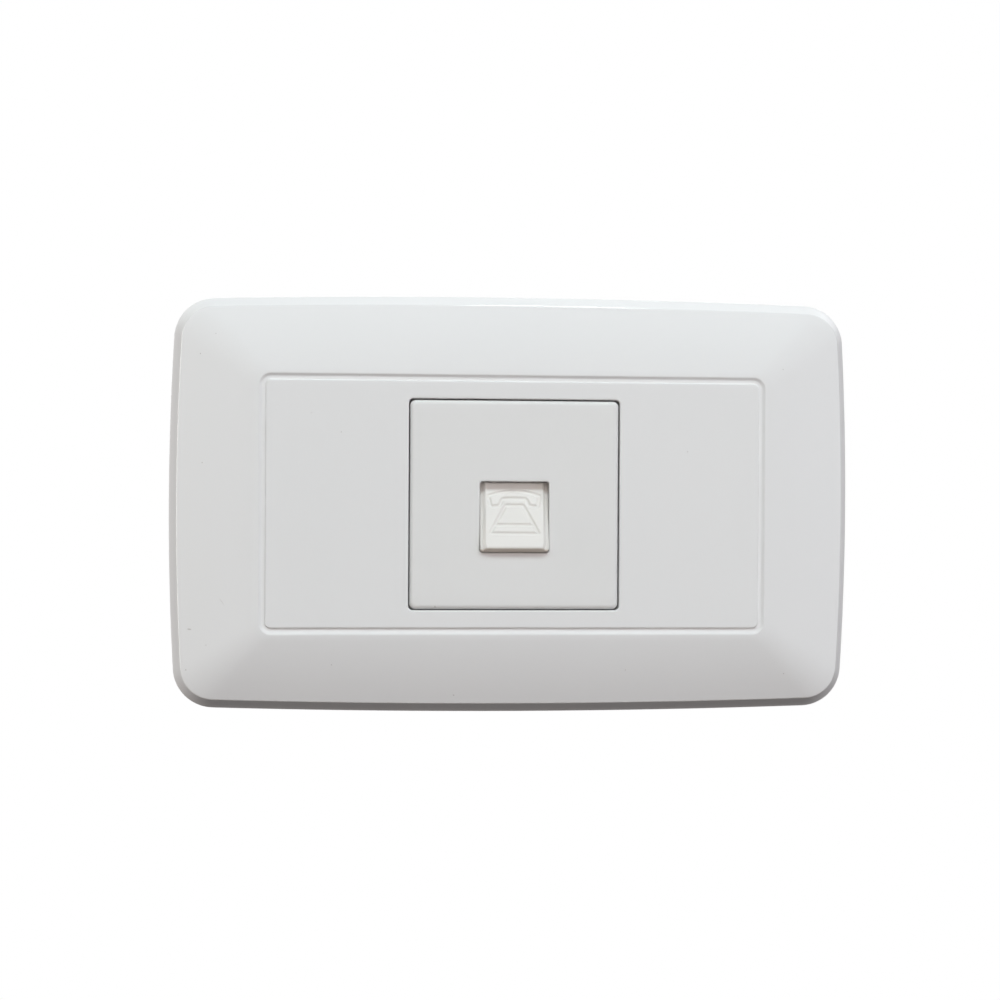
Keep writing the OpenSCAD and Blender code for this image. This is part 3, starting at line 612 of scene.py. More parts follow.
# %% A tree that copies a piece to chosen places
class GeometryTree(Nodes):
    """A Geometry Nodes tree with named inputs, ended by Realize Instances and Set Material."""

    def __init__(self, name, **inputs):
        super().__init__(bpy.data.node_groups.new(name, "GeometryNodeTree"))
        face = self.tree.interface
        face.new_socket("Geometry", in_out="INPUT", socket_type="NodeSocketGeometry")
        for title, (kind, value) in inputs.items():
            socket = face.new_socket(title, in_out="INPUT", socket_type="NodeSocket" + kind)
            if value is not None:
                socket.default_value = value
        face.new_socket("Geometry", in_out="OUTPUT", socket_type="NodeSocketGeometry")
        self.group_in = self.tree.nodes.new("NodeGroupInput")

    def given(self, title):
        return Value(self, self.group_in.outputs[title])

    def end(self, geometry, slot):
        real = self.node("GeometryNodeRealizeInstances", {}, {"Geometry": geometry})
        painted = self.node("GeometryNodeSetMaterial", {}, {0: real, "Material": FINISHES[slot]})
        self.node("NodeGroupOutput", {}, {"Geometry": painted})

    def build(self, name, mesh=None, **values):
        """Runs the tree once on a mesh and returns the result as a plain object."""
        carrier = as_object(name + "_seed", mesh or bpy.data.meshes.new(name + "_seed"))
        modifier = carrier.modifiers.new("maker", "NODES")
        modifier.node_group = self.tree
        for item in self.tree.interface.items_tree:
            if item.in_out == "INPUT" and item.name in values:
                modifier[item.identifier] = values[item.name]
        with_modifiers(carrier)
        carrier.name = name
        carrier.data.name = name
        return carrier


print("geometry tree helper ready")

# %% [markdown]
# The copies are placed by a Geometry Nodes tree: it takes one moulding, turns it half round the
# line out of the wall for the lower side, and repeats each at a distance along X.

# %% Tree: four places
def four_places():
    tree = GeometryTree("four_places", Across=("Float", 30 * MM))
    one = tree.given("Geometry")
    turned = tree.node("GeometryNodeTransform", {}, {0: one, "Rotation": (0.0, math.pi, 0.0)})
    row = []
    for side in (-1, 1):
        offset = tree.node("ShaderNodeCombineXYZ", {}, {"X": tree.given("Across") * side})
        for copy in (one, turned):
            row.append(tree.node("GeometryNodeTransform", {}, {0: copy, "Translation": offset}))
    together = tree.node("GeometryNodeJoinGeometry", {}, {})
    for copy in row:
        tree.tree.links.new(copy.socket, together.socket.node.inputs[0])
    tree.end(together, "cover_gloss")
    return tree


def side_profile(name, profile, from_x, to_x, sharp=40):
    """A closed bar: a profile of (up, out) points in millimetres, drawn from one X to another."""
    count = len(profile)
    points = [wall(x, up, out) for x in (from_x, to_x) for up, out in profile]
    faces = [tuple(range(count)), tuple(range(2 * count - 1, count - 1, -1))]
    faces += [(i, (i + 1) % count, count + (i + 1) % count, count + i) for i in range(count)]
    return closed_mesh(name, points, faces, sharp)


def rounded(piece, width_mm, segments=2, angle=30):
    """Rounds the piece's edges as a mould does, and keeps its flat faces flat in the light."""
    piece.data.polygons.foreach_set("use_smooth", [True] * len(piece.data.polygons))
    bevel = piece.modifiers.new("edges", "BEVEL")
    bevel.width = width_mm * MM
    bevel.segments = segments
    bevel.limit_method = "ANGLE"
    bevel.angle_limit = math.radians(angle)
    bevel.miter_outer = "MITER_ARC"
    flat = piece.modifiers.new("flat_faces", "WEIGHTED_NORMAL")
    flat.weight = 90
    return with_modifiers(piece)


HOOK_X, HOOK_Z, HOOK_WIDE, HOOK_THICK, HOOK_CATCH = 30.0, 26.2, 7.0, 1.3, 0.8
FRAME_STAND = 1.6
HOOK_FOOT = 0.4


def cover_hooks():
    catch = FRAME_STAND - 0.05
    profile = [
        (HOOK_Z - HOOK_THICK, HOOK_FOOT), (HOOK_Z, HOOK_FOOT), (HOOK_Z + HOOK_CATCH, catch - 0.4),
        (HOOK_Z + HOOK_CATCH, catch), (HOOK_Z, catch), (HOOK_Z, PLATE_OUT - COVER_WALL + 0.2),
        (HOOK_Z - HOOK_THICK, PLATE_OUT - COVER_WALL + 0.2),
    ]
    hook = side_profile("cover_hook", profile, -HOOK_WIDE / 2, HOOK_WIDE / 2)
    return four_places().build("cover_hooks", hook, Across=HOOK_X * MM)


hooks = rounded(cover_hooks(), 0.12)
print("hooks:", len(hooks.data.polygons), "faces")

# %% [markdown]
# The ribs inside run from the collar to the rim. With the skin and the hooks they are one moulding,
# so they become one object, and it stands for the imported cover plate.

# %% The cover plate
RIB_Z, RIB_THICK, RIB_LOW = 12.0, 1.0, 3.7


def under_surround(share):
    """(right, out) of a point inside the surround's wall, where a rib is rooted."""
    start = RIM_LEAN + RIM_ROUND
    right = PLATE_X - start - (PLATE_X - CHANNEL_X - LAND - start) * share - COVER_WALL
    rise = share + CROWN * share * (1 - share)
    return right, RIM_OUT + (PLATE_OUT - RIM_OUT) * rise - COVER_WALL * 0.8


def cover_rib(side, end):
    """One rib: its upper edge follows the inside of the surround down to the rim."""
    ceiling = PLATE_OUT - COVER_WALL * 0.8
    line = [(OPENING + COLLAR_WALL - 0.2, RIB_LOW), (OPENING + COLLAR_WALL - 0.2, ceiling)]
    line += [under_surround(share) for share in (1.0, 0.8, 0.6, 0.4, 0.2)]
    line += [(under_surround(0.12)[0], RIB_LOW)]
    points = [
        wall(end * right, side * RIB_Z + across, out)
        for across in (-RIB_THICK / 2, RIB_THICK / 2) for right, out in line
    ]
    count = len(line)
    faces = [tuple(range(count)), tuple(range(2 * count - 1, count - 1, -1))]
    faces += [(i, (i + 1) % count, count + (i + 1) % count, count + i) for i in range(count)]
    return as_object("rib", closed_mesh("rib", points, faces))


def cover_ribs():
    return [cover_rib(side, end) for side in (-1, 1) for end in (-1, 1)]


skin = tube_of_outlines("cover_skin", cover_lines)
cover = joined("cover_moulding", [skin, hooks] + cover_ribs())
smooth(cover.data, 32)
print("cover moulding:", len(cover.data.polygons), "faces")


def dress(piece, slot, body, *nodes, finish=None):
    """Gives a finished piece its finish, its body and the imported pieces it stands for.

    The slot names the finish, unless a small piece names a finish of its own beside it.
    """
    piece.data.materials.clear()
    piece.data.materials.append(FINISHES[finish or slot])
    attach(piece, body)
    if nodes:
        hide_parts(*nodes)
    return piece


dress(cover, "cover_gloss", "root", "cover_plate")

# %% [markdown]
# ## The module's face
#
# The same loft serves the square face: from the window's wall over its fine edge to the flat
# front, round the generous outer edge and down the skirt. The window lies a little below the
# middle, so the outlines slide down as they shrink. Two slots through the skirt, which the body's
# snaps click into, are cut with a Boolean, because a loft can't have a hole in its side.

# %% Sizes and outlines of the module's face
FACE = 17.74            # half of the face's side
FACE_R = 1.0
FACE_ROUND = 0.8
FACE_WALL = 1.8
SKIRT = 1.3
WINDOW_X, WINDOW_Z = 5.9, 6.05
WINDOW_R = 0.5
WINDOW_EDGE = 0.2
WINDOW_DROP = -2.1
FRAME_TOP = 3.2


def window_outline(outward, out):
    return outline(
        WINDOW_X + outward, WINDOW_Z + outward, WINDOW_R + outward, out, drop=WINDOW_DROP
    )


def face_outline(inward, out, radius=None):
    return outline(FACE - inward, FACE - inward, radius or FACE_R - 0.5 * inward, out)


def face_outlines():
    top = PLATE_OUT
    back = top - FACE_WALL
    lines = [window_outline(0, back), window_outline(0, top - WINDOW_EDGE - 0.3)]
    for a in arc(4, 0, 90):
        lines.append(window_outline(
            WINDOW_EDGE * (1 - math.cos(a)), top - WINDOW_EDGE * (1 - math.sin(a))
        ))
    lines += [window_outline(WINDOW_EDGE + 0.3, top), face_outline(FACE_ROUND + 0.5, top)]
    for a in arc(7, 90, 0):
        lines.append(face_outline(FACE_ROUND * (1 - math.cos(a)), top - FACE_ROUND * (1 - math.sin(a))))
    lines += [face_outline(0, top - FACE_ROUND - 0.3), face_outline(0, FRAME_TOP + 0.1)]
    lines += [face_outline(0.1, FRAME_TOP), face_outline(SKIRT, FRAME_TOP, 0.4)]
    lines += [face_outline(SKIRT, back, 0.4)]
    return lines


SNAP_WIDE, SNAP_LOW, SNAP_HIGH = 8.6, 4.05, 5.15


def box_tool(name, low, high):
    """A plain box between two corners (right, up, out), for cutting."""
    corners = [wall(x, z, y) for x in (low[0], high[0]) for z in (low[1], high[1]) for y in (low[2], high[2])]
    faces = [(0, 1, 3, 2), (4, 6, 7, 5), (0, 4, 5, 1), (2, 3, 7, 6), (0, 2, 6, 4), (1, 5, 7, 3)]
    return as_object(name, closed_mesh(name, corners, faces))


def cut_away(piece, tool):
    cut = piece.modifiers.new("cut", "BOOLEAN")
    cut.operation = "DIFFERENCE"
    cut.solver = "EXACT"
    cut.object = tool
    with_modifiers(piece)
    bpy.data.objects.remove(tool)
    return piece


face = tube_of_outlines("face_skin", face_outlines())
slot_ends = (-SNAP_WIDE / 2, -FACE - 1, SNAP_LOW), (SNAP_WIDE / 2, FACE + 1, SNAP_HIGH)
face = cut_away(face, box_tool("snap_slot_tool", *slot_ends))
print("face:", len(face.data.polygons), "faces")

# %% [markdown]
# Behind the face two ribs follow the slope of the shutter and hold its ears down. They need the
# slope, so it is defined here: `slope` turns (right, along the slope, off its front) into a point
# of the frame. The slope's origin is the shutter's front edge.

# %% The shutter's slope
TILT = math.radians(18)
TRAVEL = 9.6
LIP_RISE, LIP_PROUD = 0.7, 1.7
SLOPE_UP = WINDOW_DROP - WINDOW_Z + LIP_RISE
SLOPE_OUT = PLATE_OUT + LIP_PROUD
SHUTTER_FIT = 0.2
BASE_T, PAD_T = 1.2, 0.6
SHUTTER_T = BASE_T + PAD_T
BASE_W = 2 * WINDOW_X - 0.3
PAD_W = 10.1
SHUTTER_L = (2 * WINDOW_Z - LIP_RISE + 0.8) / math.cos(TILT)
EAR_W, EAR_T = 1.6, 0.8
EAR_FRONT = EAR_T - SHUTTER_T
EAR_START = (LIP_PROUD + FACE_WALL + SHUTTER_FIT + EAR_FRONT * math.cos(TILT)) / math.sin(TILT)
GUIDE_L = SHUTTER_L + TRAVEL + SHUTTER_FIT


def slope(right, along, off):
    up = SLOPE_UP + along * math.cos(TILT) + off * math.sin(TILT)
    out = SLOPE_OUT - along * math.sin(TILT) + off * math.cos(TILT)
    return wall(right, up, out)


def slope_side(along, off):
    """The same point as (up, out) in millimetres."""
    point = slope(0, along, off)
    return point.z / MM, -point.y / MM


print("slope starts at up, out:", round(SLOPE_UP, 2), round(SLOPE_OUT, 2))

# %% Ear ribs, and the finished face
def ear_ribs():
    back = PLATE_OUT - FACE_WALL
    off = EAR_FRONT + SHUTTER_FIT
    high = slope_side(GUIDE_L - SHUTTER_FIT, off)
    low_up = slope_side(EAR_START - 2 * SHUTTER_FIT, 0)[0]
    step_up, step_out = slope_side(EAR_START, off)
    profile = [
        (low_up, back + 0.1), (low_up, back - 0.1), (step_up, min(step_out, back - 0.1)),
        high, (high[0], back + 0.1),
    ]
    near, far = WINDOW_X + 0.1, BASE_W / 2 + EAR_W - 0.1
    ranges = [(-far, -near), (near, far)]
    return [as_object("ear_rib", side_profile("ear_rib", profile, *span)) for span in ranges]


face = dress(joined("module_face_moulding", [face] + ear_ribs()), "face_satin", "root", "module_face")
smooth(face.data, 32)
print("module face:", len(face.data.polygons), "faces")

# %% [markdown]
# ## Ivory for the shutter
#
# The shutter is moulded apart, in a slightly creamier plastic that lets light in a little, and
# fingers have polished its lip. Skin scattering would be wrong for its thin section, so a warm
# base colour does the work. The base colour also holds painted shade: it darkens along the pad's
# sides, towards the window's walls that shade them, and turns a darker warm tan on the underside of
# the lip, for the shade and warm bounced light there. How far up the slope a point lies is its place
# measured along the slope's own direction.

# %% Finish: shutter_ivory
SLOPE_UPWARD = (0.0, math.sin(TILT), math.cos(TILT))
SLOPE_FOOT = SLOPE_UP * math.cos(TILT) - SLOPE_OUT * math.sin(TILT)


def shutter_ivory():
    finish = Finish("shutter_ivory")
    cloud = finish.noise(4, detail=3)
    grain = finish.noise(0.15, detail=3, roughness=0.6)
    rubbed = finish.noise(2.2, detail=3, stretch=(1.0, 1.0, 2.5))
    ivory = finish.mix(cloud, tone(0.80, 0.782, 0.755), tone(0.815, 0.797, 0.773))
    dirt = finish.flecks(2.6, 0.06, 0.14)
    right = finish.node("ShaderNodeSeparateXYZ", {}, {0: finish.place}, "X") * (1 / MM)
    aside = finish.node("ShaderNodeMath", {"operation": "ABSOLUTE"}, {0: right})
    # painted shade: the colour darkens along the pad's sides, towards the window's walls that shade them
    dust_and_shade = finish.mix(finish.smooth_step(aside, 4.7, 5.8) * 0.4, ivory, tone(0.50, 0.485, 0.465))
    up_slope = finish.node(
        "ShaderNodeVectorMath", {"operation": "DOT_PRODUCT"}, {0: finish.place, 1: SLOPE_UPWARD}, "Value"
    ) * (1 / MM) - SLOPE_FOOT
    # painted shade: the lip's underside is painted a darker warm tan for the shade and warm bounced light under it
    lip_shade_painted = finish.mix(finish.smooth_step(up_slope, 0.02, 0.3, 0.55, 0.0), dust_and_shade, tone(0.60, 0.50, 0.40))
    return finish.surface(
        Base_Color=finish.mix(dirt * 0.35, lip_shade_painted, tone(0.38, 0.34, 0.29)),
        Roughness=0.3 + 0.12 * rubbed,
        IOR=1.5,
        Specular_IOR_Level=0.3,
        Normal=finish.bump(grain, 0.003),
    )


FINISHES["shutter_ivory"] = shutter_ivory()
print("shutter_ivory: foot of the slope at", round(SLOPE_FOOT, 2))

# %% [markdown]
# ## The shutter
#
# The shutter's pad is the piece that draws the eye: a soft-edged slab that leans out at its foot,
# with a telephone pictogram pressed into it. The slab is a fine grid whose borders roll over. The
# pictogram is a handful of strokes, and a Geometry Nodes tree presses every point of the slab in
# by its distance to the nearest stroke, so the groove follows the strokes at an even width.

# %% The pad as a fine grid with rolled borders
PAD_L = SHUTTER_L - 0.8
PAD_HALF = PAD_W / 2 + 0.35
SIDE_ROLL = (0.6, 0.5)     # how wide and how deep the pad's sides fall to the plate
LIP_ROLL = (0.5, 0.5)      # the same for the lip, which fingers meet
TOP_ROLL = (0.4, 0.4)
PAD_BACK = 1.2
PAD_STEP = 0.055
FOOT_TAPER, FOOT_RUN = 0.06, 1.3    # the lip's share of narrowing, and how far up it reaches


def round_end(share):
    """(how far in, how deep) of a quarter round, as shares of its width and depth."""
    return 1 - math.cos(share * math.pi / 2), 1 - math.sin(share * math.pi / 2)


def gentle_end(share):
    """The same for a side that sinks gently and ends level."""
    return share, (1 + math.cos(share * math.pi)) / 2


def border_stops(low, high, first, last, shape, steps=8):
    """Places across a slab with how deep each lies: falling at both ends, level between."""
    ends = [shape(i / steps) for i in range(steps + 1)]
    stops = [(low + first[0] * far, first[1] * deep) for far, deep in ends]
    start, end = low + first[0], high - last[0]
    level = int((end - start) / PAD_STEP)
    stops += [(start + (end - start) * i / level, 0.0) for i in range(1, level)]
    stops += [(high - last[0] * far, last[1] * deep) for far, deep in reversed(ends)]
    return stops


def pad_mesh():
    across = border_stops(-PAD_HALF, PAD_HALF, SIDE_ROLL, SIDE_ROLL, gentle_end)
    along = border_stops(0.0, PAD_L, LIP_ROLL, TOP_ROLL, round_end)
    columns, rows = len(across), len(along)
    points = []
    for v, v_deep in along:
        narrow = 1 - FOOT_TAPER * max(0.0, 1 - v / FOOT_RUN) ** 2
        for x, x_deep in across:
            points.append(slope(x * narrow, v, -math.hypot(x_deep, v_deep)))
    faces = []
    for j in range(rows - 1):
        for i in range(columns - 1):
            a = j * columns + i
            faces.append((a, a + 1, a + columns + 1, a + columns))
    # the sides go straight back to a rear face, fanned round its middle
    ring = [i for i in range(columns)] + [j * columns + columns - 1 for j in range(1, rows)]
    ring += [(rows - 1) * columns + i for i in range(columns - 2, -1, -1)]
    ring += [j * columns for j in range(rows - 2, 0, -1)]
    first = len(points)
    for index in ring:
        x = points[index].x / MM
        row = index // columns
        points.append(slope(x, along[row][0], -PAD_BACK))
    points.append(slope(0, PAD_L / 2, -PAD_BACK))
    count = len(ring)
    for i in range(count):
        j = (i + 1) % count
        faces.append((ring[i], ring[j], first + j, first + i))
        faces.append((first + i, first + j, len(points) - 1))
    return closed_mesh("shutter_pad", points, faces)


pad = pad_mesh()
print("pad:", len(pad.polygons), "faces")

# %% [markdown]
# The pictogram is the common sign for a telephone: a handset over a tapering body with one level
# bar. Its strokes are given on the window, in millimetres from the window's middle line, and laid
# onto the slope. Arcs need only their ends and their crown.

# %% The pictogram's strokes
def bend(start, crown, end, steps=14):
    """Points of a soft arc from start to end whose middle is lifted to the crown."""
    points = []
    for i in range(steps + 1):
        t = i / steps
        lift = 4 * t * (1 - t)
        x = start[0] + (end[0] - start[0]) * t
        y = start[1] + (end[1] - start[1]) * t
        points.append((x, y + lift * (crown - (start[1] + end[1]) / 2)))
    return points


EAR_OUT, EAR_IN = 4.45, 2.2
HANDSET_TOP, HANDSET_SIDE, HANDSET_FOOT = 2.33, 1.5, -0.3
HANDSET_INNER, HANDSET_NOTCH = 0.98, 0.62
BODY_TOP, BODY_FOOT, BODY_BAR = -0.10, -4.86, -3.4
BODY_TOP_X, BODY_FOOT_X = 1.5, 4.12


def body_side(up):
    share = (BODY_TOP - up) / (BODY_TOP - BODY_FOOT)
    return BODY_TOP_X + (BODY_FOOT_X - BODY_TOP_X) * share


def soft_corners(loop, cut=0.4, steps=5):
    """A closed line with each corner drawn as a soft bend that starts at most cut before it."""
    soft = []
    for i, (x, y) in enumerate(loop):
        ends = []
        for px, py in (loop[i - 1], loop[(i + 1) % len(loop)]):
            near = min(cut / math.hypot(px - x, py - y), 0.5)
            ends.append((x + (px - x) * near, y + (py - y) * near))
        (ax, ay), (bx, by) = ends
        for k in range(steps + 1):
            t = k / steps
            soft.append((
                (1 - t) ** 2 * ax + 2 * t * (1 - t) * x + t * t * bx,
                (1 - t) ** 2 * ay + 2 * t * (1 - t) * y + t * t * by,
            ))
    return soft + soft[:1]


def pictogram_strokes():
    crown = bend((-EAR_OUT, HANDSET_SIDE), HANDSET_TOP, (EAR_OUT, HANDSET_SIDE))
    ear = [(EAR_OUT - 0.45, HANDSET_FOOT), (EAR_IN + 0.3, HANDSET_FOOT + 0.12), (EAR_IN - 0.15, HANDSET_INNER)]
    inner = bend((EAR_IN - 0.6, HANDSET_INNER + 0.05), HANDSET_INNER + 0.1, (-EAR_IN + 0.6, HANDSET_INNER + 0.05))
    handset = crown + ear + inner + [(-x, y) for x, y in reversed(ear)]
    body = [(-BODY_TOP_X, BODY_TOP), (BODY_TOP_X, BODY_TOP), (BODY_FOOT_X, BODY_FOOT), (-BODY_FOOT_X, BODY_FOOT)]
    bar = [(-body_side(BODY_BAR), BODY_BAR), (body_side(BODY_BAR), BODY_BAR)]
    return [soft_corners(handset), soft_corners(body, 0.3), bar]


def stroke_object():
    """The strokes as bare edges on the slope."""
    points = []
    edges = []
    for stroke in pictogram_strokes():
        start = len(points)
        for x, up in stroke:
            points.append(slope(x, (up - SLOPE_UP) / math.cos(TILT), 0))
        edges += [(i, i + 1) for i in range(start, len(points) - 1)]
    mesh = bpy.data.meshes.new("pictogram")
    mesh.from_pydata(points, edges, [])
    return as_object("pictogram", mesh)


strokes = stroke_object()
print("pictogram:", len(strokes.data.edges), "edges")

# %% [markdown]
# Geometry Proximity gives each point's distance to the strokes. Half the groove's width, less a
# soft shoulder, is pressed to the full depth; the shoulder runs out gently, as the radius of a
# real engraving tool leaves it.

# %% Tree: press the strokes into a surface
def engraving():
    tree = GeometryTree(
        "engraving", Strokes=("Object", None), Wide=("Float", 0.5 * MM),
        Deep=("Float", 0.2 * MM), Shoulder=("Float", 0.18 * MM),
    )
    strokes_in = tree.node(
        "GeometryNodeObjectInfo", {"transform_space": "ORIGINAL"}, {"Object": tree.given("Strokes")},
        "Geometry",
    )
    away = tree.node("GeometryNodeProximity", {"target_element": "EDGES"}, {0: strokes_in}, "Distance")
    half = tree.given("Wide") * 0.5
    press = tree.smooth_step(away, half - tree.given("Shoulder"), half, 1.0, 0.0)
    inward = slope(0, 0, -1) - slope(0, 0, 0)
    direction = tree.node(
        "ShaderNodeVectorMath", {"operation": "SCALE"},
        {0: tuple(inward.normalized()), "Scale": press * tree.given("Deep")},
    )
    moved = tree.node("GeometryNodeSetPosition", {}, {0: tree.given("Geometry"), "Offset": direction})
    tree.end(moved, "shutter_ivory")
    return tree


engraved = engraving().build(
    "shutter_pad", pad, Strokes=strokes, Wide=0.86 * MM, Deep=0.2 * MM, Shoulder=0.38 * MM
)
bpy.data.objects.remove(strokes)
print("engraved pad:", len(engraved.data.polygons), "faces")

# %% [markdown]
# Behind the pad lie the sliding plate, its two ears and the arm that pushes the spring. They are
# plain bars with moulded edges. `slope_bar` draws one from its limits on the slope. The plate has
# a foot beside the lip that stands upright and closes the window's lower corners. It is a convex
# body, so its corner points and a convex hull are enough.

# %% The sliding plate, ears and arm
SPRING_D, SPRING_WIRE, SPRING_L, SPRING_TURNS = 2.2, 0.25, 12.0, 8
SPRING_X = WINDOW_X + 4.3
SPRING_OFF = EAR_FRONT - SPRING_D / 2 + 0.3
ARM_L = 1.2


def slope_bar(name, across, along, off, edge_mm=0.12):
    corners = [slope(x, v, z) for x in across for v in along for z in off]
    faces = [(0, 1, 3, 2), (4, 6, 7, 5), (0, 4, 5, 1), (2, 3, 7, 6), (0, 2, 6, 4), (1, 5, 7, 3)]
    return rounded(as_object(name, closed_mesh(name, corners, faces)), edge_mm)


half_base = BASE_W / 2
FOOT_CUT = 0.3
SNUG = 0.09     # how much of its gaps to the window the plate fills at its sides and foot


def sliding_plate():
    points = []
    for side in (-1, 1):
        for inset in (0.0, FOOT_CUT):
            x = side * (half_base + SNUG - inset)
            foot = FOOT_CUT - inset - SNUG
            points += [slope(x, foot, -SHUTTER_T), slope(x, foot, -PAD_T - (PAD_T - foot) * math.tan(TILT))]
        edge = side * (half_base + SNUG)
        points += [slope(edge, along, -PAD_T) for along in (PAD_T, SHUTTER_L)]
        points.append(slope(edge, SHUTTER_L, -SHUTTER_T))
    shape = bmesh.new()
    for point in points:
        shape.verts.new(point)
    bmesh.ops.convex_hull(shape, input=shape.verts)
    bmesh.ops.dissolve_limit(shape, angle_limit=math.radians(1), verts=shape.verts, edges=shape.edges)
    bmesh.ops.recalc_face_normals(shape, faces=shape.faces)
    mesh = bpy.data.meshes.new("sliding_plate")
    shape.to_mesh(mesh)
    shape.free()
    return rounded(as_object("sliding_plate", mesh), 0.12, 3)


bars = [sliding_plate()]
for side in (-1, 1):
    reach = sorted((side * (half_base - 0.2), side * (half_base + EAR_W)))
    bars.append(slope_bar("ear", reach, (EAR_START, SHUTTER_L), (-SHUTTER_T, EAR_FRONT)))
arm_in, arm_out = half_base + EAR_W - 0.2, SPRING_X + 0.9
bars.append(slope_bar("arm", (arm_in, arm_out), (EAR_START, EAR_START + ARM_L), (SPRING_OFF - 0.8, EAR_FRONT)))
shutter = dress(joined("shutter_moulding", [engraved] + bars), "shutter_ivory", "shutter", "shutter")
smooth(shutter.data, 50)
print("shutter:", len(shutter.data.polygons), "faces")

# %% [markdown]
# ## The spring
#
# A compression spring is a wire along a helix whose end turns lie close, ground square, on the
# real part; here the spiral keeps one pitch to its ends. The tree takes Blender's spiral and sweeps a
# circle along it. The spring is squeezed as the shutter opens.

# %% Tree: a compression spring
def coil_tree():
    tree = GeometryTree(
        "compression_spring", Turns=("Float", 8.0), Radius=("Float", 1 * MM),
        Long=("Float", 12 * MM), Wire=("Float", 0.12 * MM),
    )
    spiral = tree.node("GeometryNodeCurveSpiral", {}, {
        "Resolution": 28, "Rotations": tree.given("Turns"), "Start Radius": tree.given("Radius"),
        "End Radius": tree.given("Radius"), "Height": tree.given("Long"), "Reverse": True,
    })
    ring = tree.node("GeometryNodeCurvePrimitiveCircle", {}, {"Resolution": 10, "Radius": tree.given("Wire")})
    wire = tree.node("GeometryNodeCurveToMesh", {}, {0: spiral, 1: ring, "Fill Caps": True})
    tree.end(wire, "spring_steel")
    return tree


def laid_on_slope(piece, right, along, off):
    """Turns a piece drawn along Z onto the slope, with its start at the given point."""
    up_slope = (slope(0, 1, 0) - slope(0, 0, 0)).normalized()
    turn = Vector((0, 0, 1)).rotation_difference(up_slope).to_matrix().to_4x4()
    piece.data.transform(Matrix.Translation(slope(right, along, off)) @ turn)
    return piece


SPRING_START = EAR_START + ARM_L
spring = coil_tree().build(
    "spring_coil", Turns=float(SPRING_TURNS), Radius=(SPRING_D - SPRING_WIRE) / 2 * MM,
    Long=(SPRING_L - SPRING_WIRE) * MM, Wire=SPRING_WIRE / 2 * MM,
)
spring.data.transform(Matrix.Translation((0, 0, SPRING_WIRE / 2 * MM)))
laid_on_slope(spring, SPRING_X, SPRING_START, SPRING_OFF)
smooth(spring.data, 60)
dress(spring, "spring_steel", "root", "shutter_spring")
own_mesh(spring)
print("spring:", len(spring.data.polygons), "faces")

# %% [markdown]
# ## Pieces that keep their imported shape
#
# The frame, the body, the jack and the terminal block already have every hole and rib they need.
# What they lack is the small radius that every moulded or pressed edge has, and which catches the
# light. A copy of each mesh is merged, and a bevel of a tenth of a millimetre rounds its edges.
# Weighted normals let the large faces lead, so that they stay flat in the light.

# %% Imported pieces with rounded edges
def softened(node, name, edge_mm, segments=2, angle=30):
    mesh = frame["nodes"][node].data.copy()
    shape = bmesh.new()
    shape.from_mesh(mesh)
    bmesh.ops.remove_doubles(shape, verts=shape.verts, dist=2e-6)
    shape.to_mesh(mesh)
    shape.free()
    mesh.materials.clear()
    return rounded(as_object(name, mesh), edge_mm, segments, angle)


SOFT_EDGES = {
    "mounting_frame": ("mounting_frame_moulding", 0.15, "frame_plastic"),
    "module_body": ("module_body_moulding", 0.1, "body_plastic"),
    "jack_housing": ("jack_moulding", 0.06, "jack_plastic"),
    "circuit_board": ("circuit_board_panel", 0.05, "board_laminate"),
    "terminal_block": ("terminal_block_moulding", 0.1, "terminal_plastic"),
}
for node, (name, edge_mm, slot) in SOFT_EDGES.items():
    piece = dress(softened(node, name, edge_mm), slot, "root", node)
    print(name, len(piece.data.polygons), "faces")

for index in (1, 2, 3, 4):
    clamp = "terminal_clamp_%d" % index
    dress(softened(clamp, clamp + "_pressing", 0.08), "clamp_brass", "root", clamp)

# %% [markdown]
# ## Contacts
#
# Each contact is a sprung wire: soldered at its tail, bent over the jack's roof, with its free
# end hanging into the mouth. The bends of a real wire are round, which is what Fillet Curve makes
# of a bent line, and Curve to Mesh gives it its section.

# %% Tree: a bent wire
def wire_tree():
    tree = GeometryTree("bent_wire", Wide=("Float", 0.2 * MM), Bend=("Float", 0.4 * MM))
    line = tree.node("GeometryNodeMeshToCurve", {}, {0: tree.given("Geometry")})
    soft = tree.node("GeometryNodeFilletCurve", {"mode": "POLY"}, {
        0: line, "Radius": tree.given("Bend"), "Count": 6, "Limit Radius": True,
    })
    section = tree.node(
        "GeometryNodeCurvePrimitiveCircle", {}, {"Resolution": 12, "Radius": tree.given("Wide")}
    )
    tree.end(tree.node("GeometryNodeCurveToMesh", {}, {0: soft, 1: section, "Fill Caps": True}), "contact_gilt")
    return tree


CONTACT_T = 0.4


def contact_route(node):
    """The middle line of a packed contact, from its tail to its free end."""
    (x0, y0, z0), (x1, y1, z1) = low_high(node)
    middle = (x0 + x1) / 2
    roof = y1 - CONTACT_T / 2
    turn = z1 - CONTACT_T / 2
    entry = roof - 0.6
    return [
        wall(middle, roof, z0), wall(middle, roof, turn - 0.8), wall(middle, entry, turn),
        wall(middle, entry - 1.0, turn), wall(middle, y0 + CONTACT_T / 2, turn - 8.0),
    ]


def contact(index, tree):
    node = "contact_wire_%d" % index
    route = contact_route(node)
    mesh = bpy.data.meshes.new(node)
    mesh.from_pydata(route, [(i, i + 1) for i in range(len(route) - 1)], [])
    piece = tree.build(node + "_formed", mesh, Wide=0.2 * MM, Bend=0.35 * MM)
    smooth(piece.data, 50)
    return dress(piece, "contact_gilt", "root", node)


wires = wire_tree()
for index in (1, 2, 3, 4):
    made = contact(index, wires)
print("contacts: 4 of", len(made.data.polygons), "faces")
